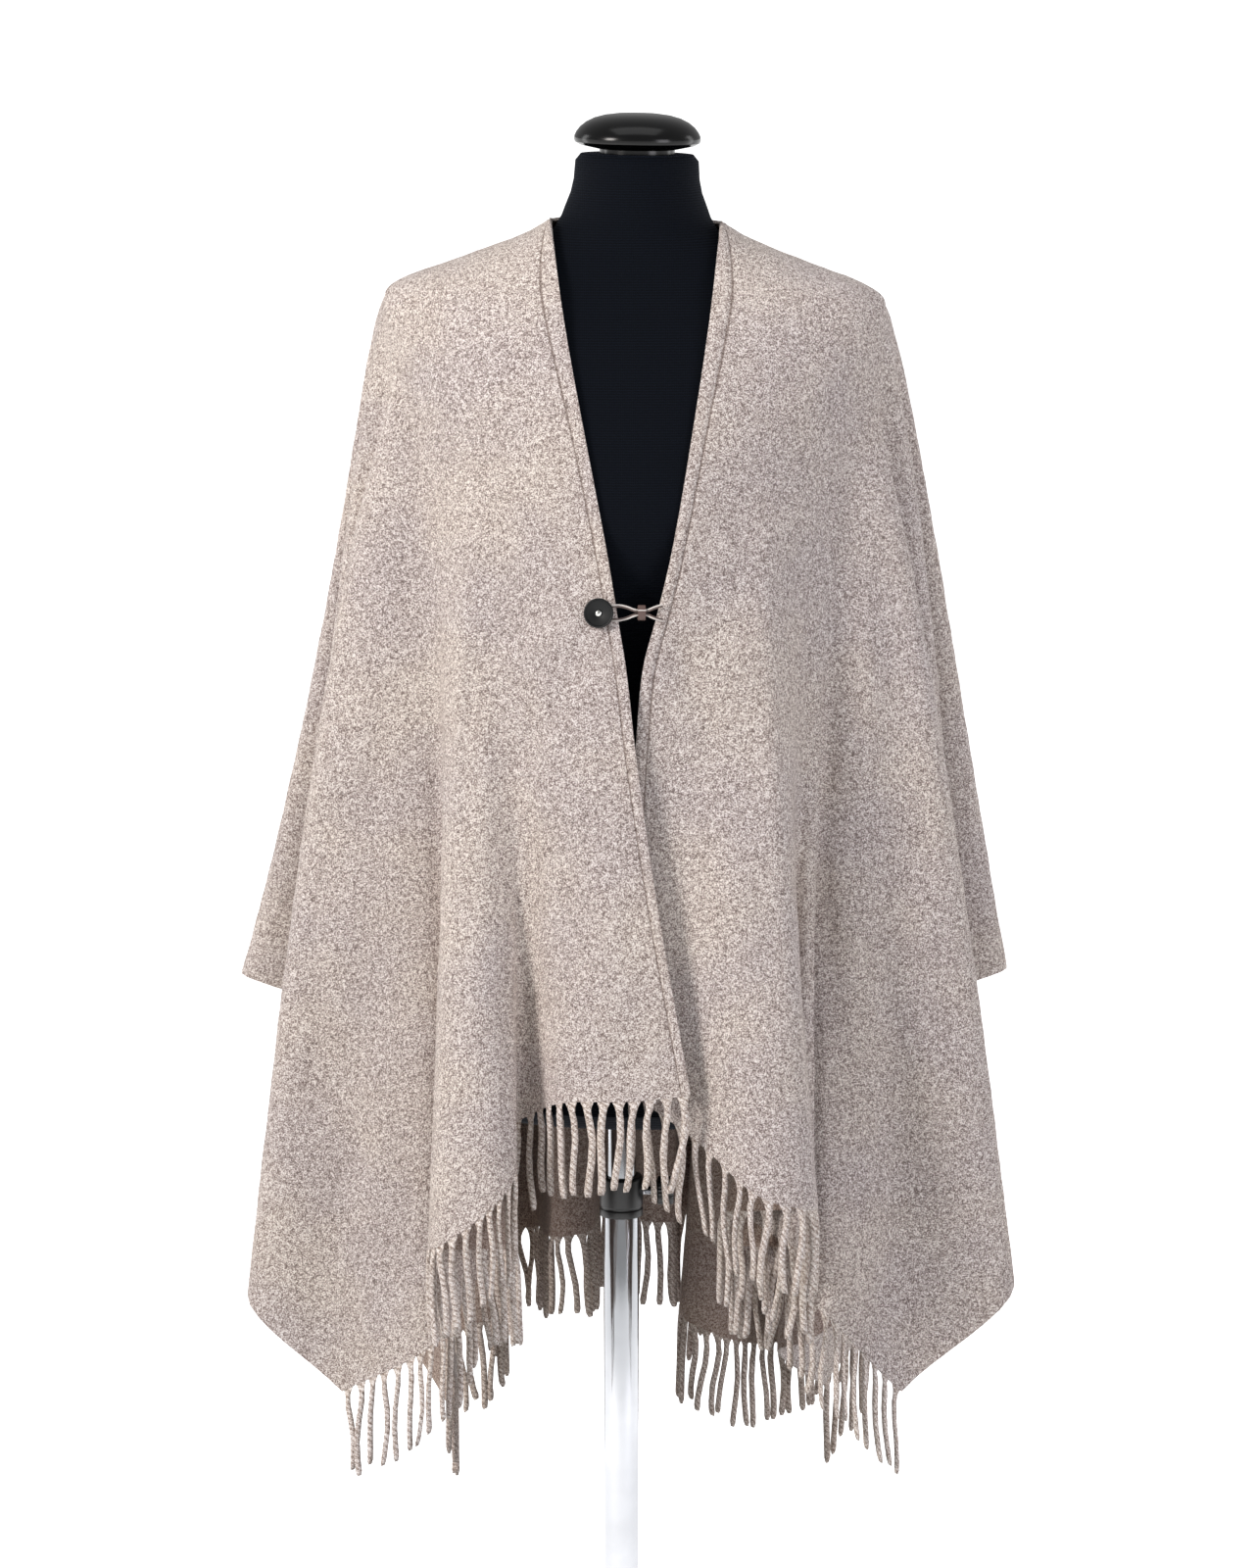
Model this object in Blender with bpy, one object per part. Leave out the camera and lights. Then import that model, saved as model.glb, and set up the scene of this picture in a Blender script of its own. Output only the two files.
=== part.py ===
"""Fringed poncho on a dress form, as a Blender model in metres, +Z up, front towards -Y.

The origin is on the floor, at the middle of the stand's base. The poncho is one woven rectangle with a
slit cut from the front hem to the back of the neck. It is laid over the shoulders, so every column of
cloth runs from the neckline, over the form, to a point on the hem or on a side edge. FOLDS gives where
those points hang, one row for each ridge and valley, and the rest of the wall is worked out from it.
"""

import bisect
import math
import random

import bmesh
import bpy
from mathutils import Vector
from mathutils.bvhtree import BVHTree

MM = 0.001

# Cloth, as cut flat
HALF_WIDTH = 0.680
FRONT_LENGTH = 0.660
BACK_LENGTH = 0.870
SLIT_BEFORE = 0.030
WALL = 2.4 * MM
EDGE_WALL = 3.6 * MM
EDGE_BAND = 0.010
SEAT = 2.2 * MM
EDGE_SEAT = 1.6 * MM
FORM_EASE = 0.9 * MM
SHOULDER_EASE = 3.9 * MM
NECKLINE = 1.336
TIP_HEIGHT = 1.262
NECK_SIDE = math.radians(86.5)
BILLOW = 0.011
TUCK_GROWTH = 2.6

# How strongly the columns crowd towards the shoulder tips where the cloth leaves the form
CROWD_AHEAD = {-1: 3.2, 1: 4.2}
CROWD_BEHIND = 1.8
CROWD_SHARE = 0.55
BAND_AT_REST = math.radians(2.6)

# Dress form and stand
TORSO_BOTTOM = 0.649
NECK_TOP = 1.389
LEAN = 0.0165
CAP_TOP = 1.420
POLE_RADIUS = 0.0115
TUBE_RADIUS = 0.0140
BASE_RADIUS = 0.175
GAP = 0.3 * MM

# Fringe
STRAND_PITCH = 0.0132
STRAND_WIDTH = 0.0056
STRAND_THICK = 0.0022
STRAND_LENGTH = 0.074
ROOT_STRIP = 0.0035
STRAND_SPACE = 0.0068
STRAND_CLEAR = 0.0045
ROOT_MARGIN = 0.0012
STRAND_SWAY = 0.0008
HEM_GAP = 0.5 * MM

# Clasp
CLASP_HEIGHT = 1.057
BUTTON_INSET = 0.0125
CORD_RADIUS = 0.00125
CORD_LIFT = 0.0016
CORD_CLEAR = 0.0008
CORD_BRIDGE = 0.4 * MM
BUTTON_SEAT = 0.0010
WRAP_LIFT = 0.0010
CORD_END_LIFT = 0.0032
CORD_SPREAD_COLUMNS = ("share of the way across", "mm above or below the middle")
CORD_SPREAD = [
    (0.16, 5.0),
    (0.23, 5.2),
    (0.30, 5.2),
    (0.37, 4.7),
    (0.44, 3.8),
    (0.56, 1.7),
    (0.76, 1.7),
    (0.84, 3.2),
    (0.92, 4.6),
    (1.00, 5.6),
]
WRAP_AT = 0.66
WRAP_STRETCH = 1.0
WRAP_PROFILE = [(0.0022, -0.0028), (0.0029, -0.0028), (0.0029, 0.0028), (0.0022, 0.0028)]
BUTTON_PROFILE = [
    (0.0030, 0.0000),
    (0.0030, 0.0034),
    (0.0100, 0.0034),
    (0.0112, 0.0044),
    (0.0112, 0.0058),
    (0.0102, 0.0066),
    (0.0090, 0.0064),
    (0.0080, 0.0054),
]
STUD_PROFILE = [(0.0030, 0.0057), (0.0030, 0.0062), (0.0020, 0.0070), (0.0008, 0.0073)]

# Neck cap, stand: outlines as (radius, height) pairs
CAP_PROFILE = [
    (0.0290, NECK_TOP + GAP),
    (0.0290, 1.3925),
    (0.0440, 1.3955),
    (0.0478, 1.3978),
    (0.0485, 1.4000),
    (0.0470, 1.4050),
    (0.0420, 1.4110),
    (0.0340, 1.4160),
    (0.0220, 1.4192),
    (0.0080, CAP_TOP),
]
ROD_PROFILE = [(POLE_RADIUS, 0.300), (POLE_RADIUS, TORSO_BOTTOM + 0.1 * MM)]
TUBE_BORE = POLE_RADIUS + GAP
TUBE_PROFILE = [(TUBE_RADIUS, 0.0160), (TUBE_RADIUS, 0.5660), (TUBE_BORE, 0.5660), (TUBE_BORE, 0.0160)]
CLAMP_PROFILE = [
    (TUBE_RADIUS + GAP, 0.5560),
    (0.0172, 0.5560),
    (0.0172, 0.5860),
    (0.0160, 0.5880),
    (TUBE_BORE, 0.5880),
    (TUBE_BORE, 0.5665),
    (TUBE_RADIUS + GAP, 0.5665),
]
CLAMP_SCREW_HEIGHT = 0.5755
SCREW_PROFILE = [(0.0035, 0.0175), (0.0035, 0.0262)]
KNOB_RADIUS = 0.0112
KNOB_PROFILE = [
    (0.0070, 0.0265),
    (0.0085, 0.0280),
    (KNOB_RADIUS, 0.0290),
    (KNOB_RADIUS, 0.0400),
    (0.0095, 0.0415),
]
BASE_PROFILE = [
    (BASE_RADIUS - 0.002, 0.0000),
    (BASE_RADIUS, 0.0020),
    (BASE_RADIUS, 0.0060),
    (BASE_RADIUS - 0.003, 0.0085),
    (0.0400, 0.0125),
    (0.0250, 0.0157),
]

# The dress form's level sections: height, half width, depth in front of and behind its axis
FORM_COLUMNS = ("z", "half_width", "front", "back")
FORM = [
    (0.649, 0.141, 0.098, 0.102),
    (0.652, 0.147, 0.104, 0.108),
    (0.700, 0.151, 0.106, 0.113),
    (0.760, 0.152, 0.103, 0.115),
    (0.860, 0.136, 0.094, 0.102),
    (0.960, 0.118, 0.088, 0.086),
    (1.050, 0.139, 0.108, 0.092),
    (1.115, 0.158, 0.128, 0.100),
    (1.170, 0.170, 0.120, 0.108),
    (1.220, 0.184, 0.106, 0.108),
    (1.250, 0.192, 0.094, 0.098),
    (1.272, 0.1925, 0.083, 0.086),
    (1.284, 0.187, 0.076, 0.078),
    (1.293, 0.168, 0.071, 0.073),
    (1.301, 0.145, 0.067, 0.068),
    (1.311, 0.118, 0.063, 0.063),
    (1.324, 0.085, 0.059, 0.059),
    (1.335, 0.064, 0.055, 0.055),
    (1.350, 0.0540, 0.052, 0.052),
    (1.370, 0.0480, 0.048, 0.048),
    (1.384, 0.0470, 0.047, 0.047),
    (1.389, 0.0430, 0.043, 0.043),
]

# The poncho's outer edge as it hangs, from the left front corner at the opening, round the left side
# and the back, to the right front corner. flat: metres along that stretch of the edge. x, y, z: where
# it hangs, in mm. fall: how late a column swings out on its way down (1 is straight).
FOLD_COLUMNS = ("name", "flat", "x", "y", "z", "fall")
FOLDS = {
    "front_left": [
        ("opening corner", 0.000, 52, -182, 699, 1.0),
        ("centre panel", 0.055, 2, -182, 694, 1.1),
        ("centre panel turn", 0.108, -45, -170, 690, 1.2),
        ("tuck behind centre", 0.162, -77, -138, 668, 2.0),
        ("inner flute edge", 0.212, -79, -180, 640, 1.6),
        ("front flute", 0.265, -104, -206, 612, 1.3),
        ("outer flute edge", 0.325, -142, -192, 583, 1.1),
        ("deep tuck", 0.462, -88, -98, 552, 1.7),
        ("side panel start", 0.590, -150, -134, 486, 1.2),
        ("front corner", 0.680, -216, -100, 442, 0.9),
    ],
    "left_side": [
        ("front corner", 0.000, -216, -100, 442, 0.9),
        ("front ridge", 0.120, -289, -62, 515, 0.75),
        ("front valley", 0.250, -190, -40, 562, 1.0),
        ("inner ridge", 0.385, -262, -6, 640, 1.0),
        ("arm valley", 0.520, -180, 12, 690, 1.3),
        ("side ridge", 0.680, -300, 50, 741, 1.5),
        ("upper back valley", 0.850, -184, 84, 668, 1.3),
        ("upper back ridge", 1.030, -272, 136, 572, 1.1),
        ("lower back valley", 1.200, -172, 160, 480, 1.1),
        ("lower back ridge", 1.370, -236, 262, 420, 1.0),
        ("back corner", 1.530, -146, 230, 322, 1.0),
    ],
    "back": [
        ("back corner", 0.000, -146, 230, 322, 1.0),
        ("left valley", 0.190, -118, 136, 425, 1.2),
        ("left flute", 0.395, -92, 286, 462, 1.2),
        ("left of centre", 0.555, -38, 152, 496, 1.3),
        ("centre back", 0.645, -4, 216, 506, 1.3),
        ("right of centre", 0.730, 28, 148, 508, 1.3),
        ("right flute", 0.875, 60, 280, 482, 1.2),
        ("fold edge", 1.025, 62, 152, 418, 1.3),
        ("last panel", 1.150, 138, 214, 386, 1.2),
        ("last flute", 1.260, 200, 266, 400, 1.1),
        ("back corner", 1.360, 169, 184, 356, 1.1),
    ],
    "right_side": [
        ("back corner", 0.000, 169, 184, 356, 1.1),
        ("last valley", 0.110, 138, 126, 408, 1.1),
        ("lower back ridge", 0.270, 262, 196, 462, 1.0),
        ("lower back valley", 0.430, 196, 108, 540, 1.1),
        ("upper back ridge", 0.580, 286, 106, 606, 1.0),
        ("upper back valley", 0.720, 196, 72, 676, 1.2),
        ("side ridge", 0.850, 304, 42, 747, 1.2),
        ("arm valley", 1.010, 188, 12, 696, 1.2),
        ("inner ridge", 1.150, 272, -16, 638, 0.9),
        ("front valley", 1.290, 192, -44, 566, 1.0),
        ("front ridge", 1.410, 304, -68, 524, 0.85),
        ("front corner", 1.530, 217, -100, 442, 0.9),
    ],
    "front_right": [
        ("front corner", 0.000, 217, -100, 442, 0.9),
        ("side panel start", 0.100, 155, -130, 514, 1.2),
        ("deep tuck", 0.205, 92, -94, 556, 1.7),
        ("hidden ridge", 0.300, 142, -146, 570, 1.5),
        ("hidden tuck", 0.395, 82, -108, 588, 1.7),
        ("outer flute edge", 0.505, 146, -180, 610, 1.0),
        ("front flute", 0.560, 106, -200, 624, 1.1),
        ("inner panel", 0.618, 58, -170, 660, 1.1),
        ("opening corner", 0.680, 2, -158, 698, 1.0),
    ],
}

# The two front edges, seen from the front: height, then x of the left and of the right edge in mm
OPENING_COLUMNS = ("z", "left_x", "right_x")
OPENING = [
    (1.340, -54, 76),
    (1.280, -45, 68),
    (1.180, -26, 52),
    (1.110, -12, 40),
    (1.050, -2, 26),
    (1.020, 3, 18),
    (0.960, 10, 12),
    (0.860, 24, 8),
    (0.700, 52, 4),
]

FOLD_ROUND = 0.008
SHARP_FOLD = math.radians(75)
WIDE_PANEL = 0.100
YOKE_ROWS = 8
HANG_ROWS = 7


def spline(xs, ys, x, ends_flat=False):
    """The value at x of a smooth curve through the points (xs, ys), with three-point tangents."""
    i = min(max(bisect.bisect_right(xs, x) - 1, 0), len(xs) - 2)

    def slope(k):
        if 0 < k < len(xs) - 1:
            before = (ys[k] - ys[k - 1]) / (xs[k] - xs[k - 1])
            after = (ys[k + 1] - ys[k]) / (xs[k + 1] - xs[k])
            share = (xs[k] - xs[k - 1]) / (xs[k + 1] - xs[k - 1])
            return before * (1 - share) + after * share
        k = 1 if k == 0 else k
        return 0.0 if ends_flat else (ys[k] - ys[k - 1]) / (xs[k] - xs[k - 1])

    width = xs[i + 1] - xs[i]
    t = min(max((x - xs[i]) / width, 0.0), 1.0)
    a, b = slope(i) * width, slope(i + 1) * width
    return (
        ys[i] * (2 * t**3 - 3 * t**2 + 1)
        + a * (t**3 - 2 * t**2 + t)
        + ys[i + 1] * (3 * t**2 - 2 * t**3)
        + b * (t**3 - t**2)
    )


def form_section(z):
    """Half width, front depth and back depth of the dress form at height z."""
    zs = [row[0] for row in FORM]
    z = min(max(z, zs[0]), zs[-1])
    return [spline(zs, [row[k] for row in FORM], z) for k in (1, 2, 3)]


def leaned(p):
    """The form stands a little off plumb, leaning towards +X about the foot of the torso."""
    return Vector((p[0] + LEAN * (p[2] - TORSO_BOTTOM), p[1], p[2] - LEAN * p[0]))


def form_skin(angle, z):
    """A point on the upright form. Angle 0 is the front, pi / 2 the side at +X."""
    half_width, front, back = form_section(z)
    depth = front if math.cos(angle) > 0 else back
    return Vector((half_width * math.sin(angle), -depth * math.cos(angle), z))


def form_point(angle, z, clear=0.0):
    """A point clear metres off the leaning form's surface."""
    here = form_skin(angle, z)
    if clear:
        round_it = form_skin(angle + 0.01, z) - form_skin(angle - 0.01, z)
        up_it = form_skin(angle, z + MM) - form_skin(angle, z - MM)
        here += round_it.cross(up_it).normalized() * clear
    return leaned(here)


def height_along_shoulder(share, lowest):
    """Height at a share of the way from the neckline to lowest, measured along the side of the form."""
    steps = 60
    heights = [NECKLINE - (NECKLINE - lowest) * k / steps for k in range(steps + 1)]
    widths = [form_section(z)[0] for z in heights]
    run = [0.0]
    for k in range(steps):
        run.append(run[-1] + math.hypot(widths[k + 1] - widths[k], heights[k + 1] - heights[k]))
    at = share * run[-1]
    k = min(bisect.bisect_right(run, at) - 1, steps - 1)
    part = (at - run[k]) / (run[k + 1] - run[k])
    return heights[k] + (heights[k + 1] - heights[k]) * part


def is_tuck(name):
    return "tuck" in name or "hidden" in name


def edge_rows():
    """FOLDS as one list: (distance round, flat x, flat y, x, y, z, fall, is a corner, is a tuck)."""
    sides = {
        "front_left": lambda d: (-d, -FRONT_LENGTH),
        "left_side": lambda d: (-HALF_WIDTH, d - FRONT_LENGTH),
        "back": lambda d: (d - HALF_WIDTH, BACK_LENGTH),
        "right_side": lambda d: (HALF_WIDTH, BACK_LENGTH - d),
        "front_right": lambda d: (HALF_WIDTH - d, -FRONT_LENGTH),
    }
    rows, start = [], 0.0
    for side, folds in FOLDS.items():
        for name, flat, x, y, z, fall in folds:
            if rows and flat == 0.0:
                continue
            corner = name.endswith("corner")
            place = (x * MM, y * MM, z * MM)
            rows.append((start + flat, *sides[side](flat), *place, fall, corner, is_tuck(name)))
        start += folds[-1][1]
    return rounded(rows)


def rounded(rows):
    """The rows with each sharp fold split in two, so the fold turns round a small width of cloth."""
    made = [rows[0]]
    for before, row, after in zip(rows, rows[1:], rows[2:]):
        arrive = Vector((row[3] - before[3], row[4] - before[4]))
        leave = Vector((after[3] - row[3], after[4] - row[4]))
        if row[7] or arrive.angle(leave) < SHARP_FOLD:
            made.append(row)
            continue
        across = (arrive.normalized() + leave.normalized()).normalized() * FOLD_ROUND
        rise = (after[5] - before[5]) / (after[0] - before[0]) * FOLD_ROUND
        for way in (-1, 1):
            u = row[0] + way * FOLD_ROUND * 1.3
            moved = (row[3] + way * across.x, row[4] + way * across.y, row[5] + way * rise)
            made.append((u, row[1], row[2], *moved, *row[6:]))
    return made + [rows[-1]]


ROWS = edge_rows()
CORNERS = [i for i, row in enumerate(ROWS) if row[7]]


def edge_at(u):
    """Flat x and y, where it hangs, where it would hang without tucks, and its fall, at distance u."""
    i = min(bisect.bisect_right([row[0] for row in ROWS], u) - 1, len(ROWS) - 2)
    first = max(c for c in CORNERS if c <= i)
    last = min(c for c in CORNERS if c > i)
    places = []
    for rows in (ROWS, [row for row in ROWS if not row[8]]):
        us = [row[0] for row in rows]
        x, y, fall = (spline(us, [row[k] for row in rows], u) for k in (3, 4, 6))
        side = [row for row in rows if ROWS[first][0] <= row[0] <= ROWS[last][0]]
        z = spline([row[0] for row in side], [row[5] for row in side], u)
        places.append(Vector((x, y, z)))
    share = (u - ROWS[first][0]) / (ROWS[last][0] - ROWS[first][0])
    flat_x = ROWS[first][1] + share * (ROWS[last][1] - ROWS[first][1])
    flat_y = ROWS[first][2] + share * (ROWS[last][2] - ROWS[first][2])
    return flat_x, flat_y, places[0], places[1], fall


def opening_x(side, z):
    """x of the front edge on that side (-1 left, 1 right) at height z."""
    rows = sorted(OPENING)
    zs = [row[0] for row in rows]
    return spline(zs, [row[1 if side < 0 else 2] * MM for row in rows], min(max(z, zs[0]), zs[-1]))


def column(u):
    """One column of the wall's middle surface, from the neckline to the outer edge."""
    flat_x, flat_y, hang, smooth, fall = edge_at(u)
    side = -1 if u < ROWS[-1][0] / 2 else 1
    turn = math.atan2(abs(flat_x), -(flat_y + SLIT_BEFORE))
    ahead = max(0.0, math.cos(turn))
    behind = max(0.0, -math.cos(turn))
    beside = 0.0 if u in (0.0, ROWS[-1][0]) else 1.0
    band = beside * EDGE_BAND / form_section(NECKLINE)[0]
    at_neck = NECK_SIDE + band + (math.pi - NECK_SIDE - band) * (turn / math.pi) ** 1.1
    from_side = abs(1 - turn / (math.pi / 2))
    crowd = CROWD_BEHIND if behind else CROWD_AHEAD[side]
    crowded = 1 - from_side**crowd
    at_rest = math.pi / 2 * (CROWD_SHARE * crowded + (1 - CROWD_SHARE) * (1 - from_side))
    at_rest += beside * BAND_AT_REST * (1 - at_rest / (math.pi / 2))
    if behind:
        at_rest = math.pi - at_rest
    drop = 0.142 * ahead**2 + 0.085 * behind**2
    near_edge = max(0.0, 1 - turn / math.radians(24)) ** 1.5
    points = []
    for k in range(YOKE_ROWS + 1):
        t = k / YOKE_ROWS
        z = height_along_shoulder(t ** (1 + 0.3 * ahead), TIP_HEIGHT - drop)
        seat = SEAT + EDGE_SEAT * near_edge * math.exp(-(((z - 1.328) / 0.012) ** 2))
        reach = math.sin(t * math.pi / 2)
        angle = at_neck + (at_rest - at_neck) * reach
        if near_edge:
            half_width = form_section(z)[0] + SEAT
            edge_x = opening_x(side, z) - LEAN * (z - TORSO_BOTTOM)
            edge_angle = math.asin(min(max(side * edge_x / half_width, -1), 1))
            angle += (edge_angle - NECK_SIDE * (1 - reach)) * near_edge
        points.append(form_point(side * angle, z, seat))
    rest = points[-1]
    edge_top = opening_x(side, rest.z)
    edge_foot = opening_x(side, 0.0)
    for k in range(1, HANG_ROWS + 1):
        t = k / HANG_ROWS
        out = t**fall
        billow = BILLOW * math.sin(math.pi * t**0.6) * math.sin(turn) ** 2
        tuck = (hang - smooth) * t**TUCK_GROWTH
        z = rest.z + (smooth.z - rest.z) * t + tuck.z
        bow = opening_x(side, z) - edge_top - (edge_foot - edge_top) * out
        points.append(Vector((
            rest.x + (smooth.x - rest.x) * out + tuck.x + side * billow + bow * near_edge,
            rest.y + (smooth.y - rest.y) * out + tuck.y,
            z,
        )))
    return points


def column_places():
    """Distances round the outer edge of the wall's columns, with one more beside each front edge."""
    last = ROWS[-1][0]
    places = {EDGE_BAND, last - EDGE_BAND} | {row[0] for row in ROWS}
    for row, after in zip(ROWS, ROWS[1:]):
        if after[0] - row[0] > WIDE_PANEL:
            places.add((row[0] + after[0]) / 2)
    return sorted(places)


def material(name, colour, roughness, metallic=0.0):
    made = bpy.data.materials.new(name)
    made.use_nodes = True
    shader = made.node_tree.nodes["Principled BSDF"]
    shader.inputs["Base Color"].default_value = (*colour, 1.0)
    shader.inputs["Roughness"].default_value = roughness
    shader.inputs["Metallic"].default_value = metallic
    return made


def add_object(name, bm, look, smooth=True):
    mesh = bpy.data.meshes.new(name)
    bmesh.ops.recalc_face_normals(bm, faces=bm.faces)
    if bm.calc_volume(signed=True) < 0:
        bmesh.ops.reverse_faces(bm, faces=bm.faces)
    bm.to_mesh(mesh)
    bm.free()
    if smooth:
        mesh.shade_smooth()
        mesh.set_sharp_from_angle(angle=math.radians(40))
    mesh.materials.append(look)
    made = bpy.data.objects.new(name, mesh)
    bpy.context.collection.objects.link(made)
    return made


def loft(rings):
    """A closed body through rings of points, with a flat face at each end."""
    bm = bmesh.new()
    loops = [[bm.verts.new(p) for p in ring] for ring in rings]
    for one, other in zip(loops, loops[1:]):
        for k in range(len(one)):
            n = (k + 1) % len(one)
            bm.faces.new((one[k], one[n], other[n], other[k]))
    bm.faces.new(loops[0])
    bm.faces.new(loops[-1])
    return bm


def turned(profile, sides, axis_x=0.0):
    """A closed body turned about a vertical axis from (radius, height) pairs."""
    return loft([
        [
            Vector((
                axis_x + r * math.cos(2 * math.pi * i / sides),
                r * math.sin(2 * math.pi * i / sides),
                z,
            ))
            for i in range(sides)
        ]
        for r, z in profile
    ])


def make_cape(look):
    """The cloth: one wall with both faces, thicker where the two front edges are turned and stitched."""
    places = column_places()
    columns = [column(u) for u in places]
    count, rows = len(columns), len(columns[0])
    bm = bmesh.new()
    grid = [[bm.verts.new(p) for p in points] for points in columns]
    for left, right in zip(grid, grid[1:]):
        for k in range(rows - 1):
            bm.faces.new((left[k], left[k + 1], right[k + 1], right[k]))
    bm.normal_update()
    normals = [[vert.normal.copy() for vert in line] for line in grid]
    bm.free()

    bm = bmesh.new()
    outer, inner = [], []
    for i, points in enumerate(columns):
        turned_in = i < 2 or i > count - 3
        half = (EDGE_WALL if turned_in else WALL) / 2
        outer.append([bm.verts.new(p + n * half) for p, n in zip(points, normals[i])])
        inner.append([bm.verts.new(p - n * half) for p, n in zip(points, normals[i])])
    for i in range(count - 1):
        for k in range(rows - 1):
            bm.faces.new((outer[i][k], outer[i][k + 1], outer[i + 1][k + 1], outer[i + 1][k]))
            bm.faces.new((inner[i][k], inner[i + 1][k], inner[i + 1][k + 1], inner[i][k + 1]))
        for k in (0, rows - 1):
            bm.faces.new((outer[i][k], outer[i + 1][k], inner[i + 1][k], inner[i][k]))
    for i in (0, count - 1):
        for k in range(rows - 1):
            bm.faces.new((outer[i][k], inner[i][k], inner[i][k + 1], outer[i][k + 1]))
    skin = BVHTree.FromBMesh(bm)
    add_object("cape_cloth", bm, look)
    return places, columns, normals, skin


def hem_frame(cloth, u):
    """The hem's middle line at u, with the direction down the cloth and the wall's normal there."""
    places, columns, normals, _ = cloth
    i = min(max(bisect.bisect_right(places, u) - 1, 0), len(places) - 2)
    share = (u - places[i]) / (places[i + 1] - places[i])
    ends = [columns[j][-1] for j in (i, i + 1)]
    downs = [(columns[j][-1] - columns[j][-2]).normalized() for j in (i, i + 1)]
    faces = [normals[j][-1] for j in (i, i + 1)]
    return [a.lerp(b, share) for a, b in (ends, downs, faces)]


def clear_below(skin, root):
    """Whether a strand hung at root would miss every other fold of the cloth."""
    for k in range(3, 13):
        p = root - Vector((0, 0, STRAND_LENGTH * k / 12))
        if skin.find_nearest(p, STRAND_CLEAR)[0]:
            return False
    return True


def make_fringe(name, look, cloth, start, end, seed):
    """Twisted strands along one stretch of the hem, fused into a narrow strip parted from the cloth."""
    shake = random.Random(seed)
    corners = [start] + [u for u in cloth[0] if start < u < end] + [end]
    stops = {start + GAP: None, end - GAP: None}
    stops.update((u, None) for u in corners[1:-1])
    kept = []
    for one, other in zip(corners, corners[1:]):
        if other - one < STRAND_WIDTH + 2 * ROOT_MARGIN:
            continue
        count = max(1, round((other - one) / STRAND_PITCH))
        for k in range(count):
            u = one + (k + 0.5) * (other - one) / count
            middle = hem_frame(cloth, u)[0]
            crowded = any((middle - near).xy.length < STRAND_SPACE for near in kept)
            if crowded or not clear_below(cloth[3], middle):
                continue
            kept.append(middle)
            stops[u - STRAND_WIDTH / 2] = "left"
            stops[u + STRAND_WIDTH / 2] = "right"
    bm = bmesh.new()
    order = sorted(stops)
    quads = []
    for u in order:
        edge, down, face = hem_frame(cloth, u)
        top = edge + down * HEM_GAP
        low = edge + down * (HEM_GAP + ROOT_STRIP)
        half = face * STRAND_THICK / 2
        quads.append([bm.verts.new(p) for p in (top + half, low + half, low - half, top - half)])
    for i in range(len(order) - 1):
        a, b = quads[i], quads[i + 1]
        bm.faces.new((a[0], a[1], b[1], b[0]))
        bm.faces.new((a[3], b[3], b[2], a[2]))
        bm.faces.new((a[0], b[0], b[3], a[3]))
        roots = (a[1], a[2], b[2], b[1])
        if stops[order[i]] != "left" or stops[order[i + 1]] != "right":
            bm.faces.new(roots)
            continue
        centre = sum((v.co for v in roots), Vector()) / 4
        along = (b[1].co + b[2].co - a[1].co - a[2].co).xy.to_3d().normalized()
        through = Vector((along.y, -along.x, 0))
        if through.dot(a[1].co - a[2].co) < 0:
            through.negate()
        length = STRAND_LENGTH * (1 + shake.uniform(-0.06, 0.06))
        sway = Vector((shake.uniform(-1, 1), shake.uniform(-1, 1), 0)) * STRAND_SWAY
        tip = centre + sway - Vector((0, 0, length))
        wide = along * STRAND_WIDTH * 0.45
        thick = through * STRAND_THICK * 0.45
        ends = [tip - wide + thick, tip - wide - thick, tip + wide - thick, tip + wide + thick]
        foot = [bm.verts.new(p) for p in ends]
        for j in range(4):
            bm.faces.new((roots[j], foot[j], foot[(j + 1) % 4], roots[(j + 1) % 4]))
        bm.faces.new(foot)
    for cap in (quads[0], quads[-1]):
        bm.faces.new(cap)
    return add_object(name, bm, look, smooth=False)


def ring_body(profile, sides, place=None, round_axis="Z"):
    """A closed ring turned from a closed outline of (radius, height) pairs."""
    bm = bmesh.new()
    rings = []
    for i in range(sides):
        a = 2 * math.pi * i / sides
        rings.append([bm.verts.new((r * math.cos(a), r * math.sin(a), z)) for r, z in profile])
    for a, b in zip(rings, rings[1:] + rings[:1]):
        for k in range(len(profile)):
            n = (k + 1) % len(profile)
            bm.faces.new((a[k], b[k], b[n], a[n]))
    return bm


def tube(path, radius, sides=8):
    """A round cord along a path of points, closed at both ends."""
    rings = []
    for i, p in enumerate(path):
        along = (path[min(i + 1, len(path) - 1)] - path[max(i - 1, 0)]).normalized()
        across = along.cross(Vector((0, 0, 1))).normalized()
        up = across.cross(along)
        turns = [2 * math.pi * k / sides for k in range(sides)]
        rings.append([p + (across * math.cos(a) + up * math.sin(a)) * radius for a in turns])
    return loft(rings)


def form_ease(z):
    """How far the built form stays inside the shape the cloth is laid over, most at the shoulders."""
    under_cloth = min(max((1.345 - z) / 0.01, 0.0), 1.0)
    return under_cloth * (FORM_EASE + SHOULDER_EASE * math.exp(-(((z - 1.296) / 0.036) ** 2)))


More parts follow.
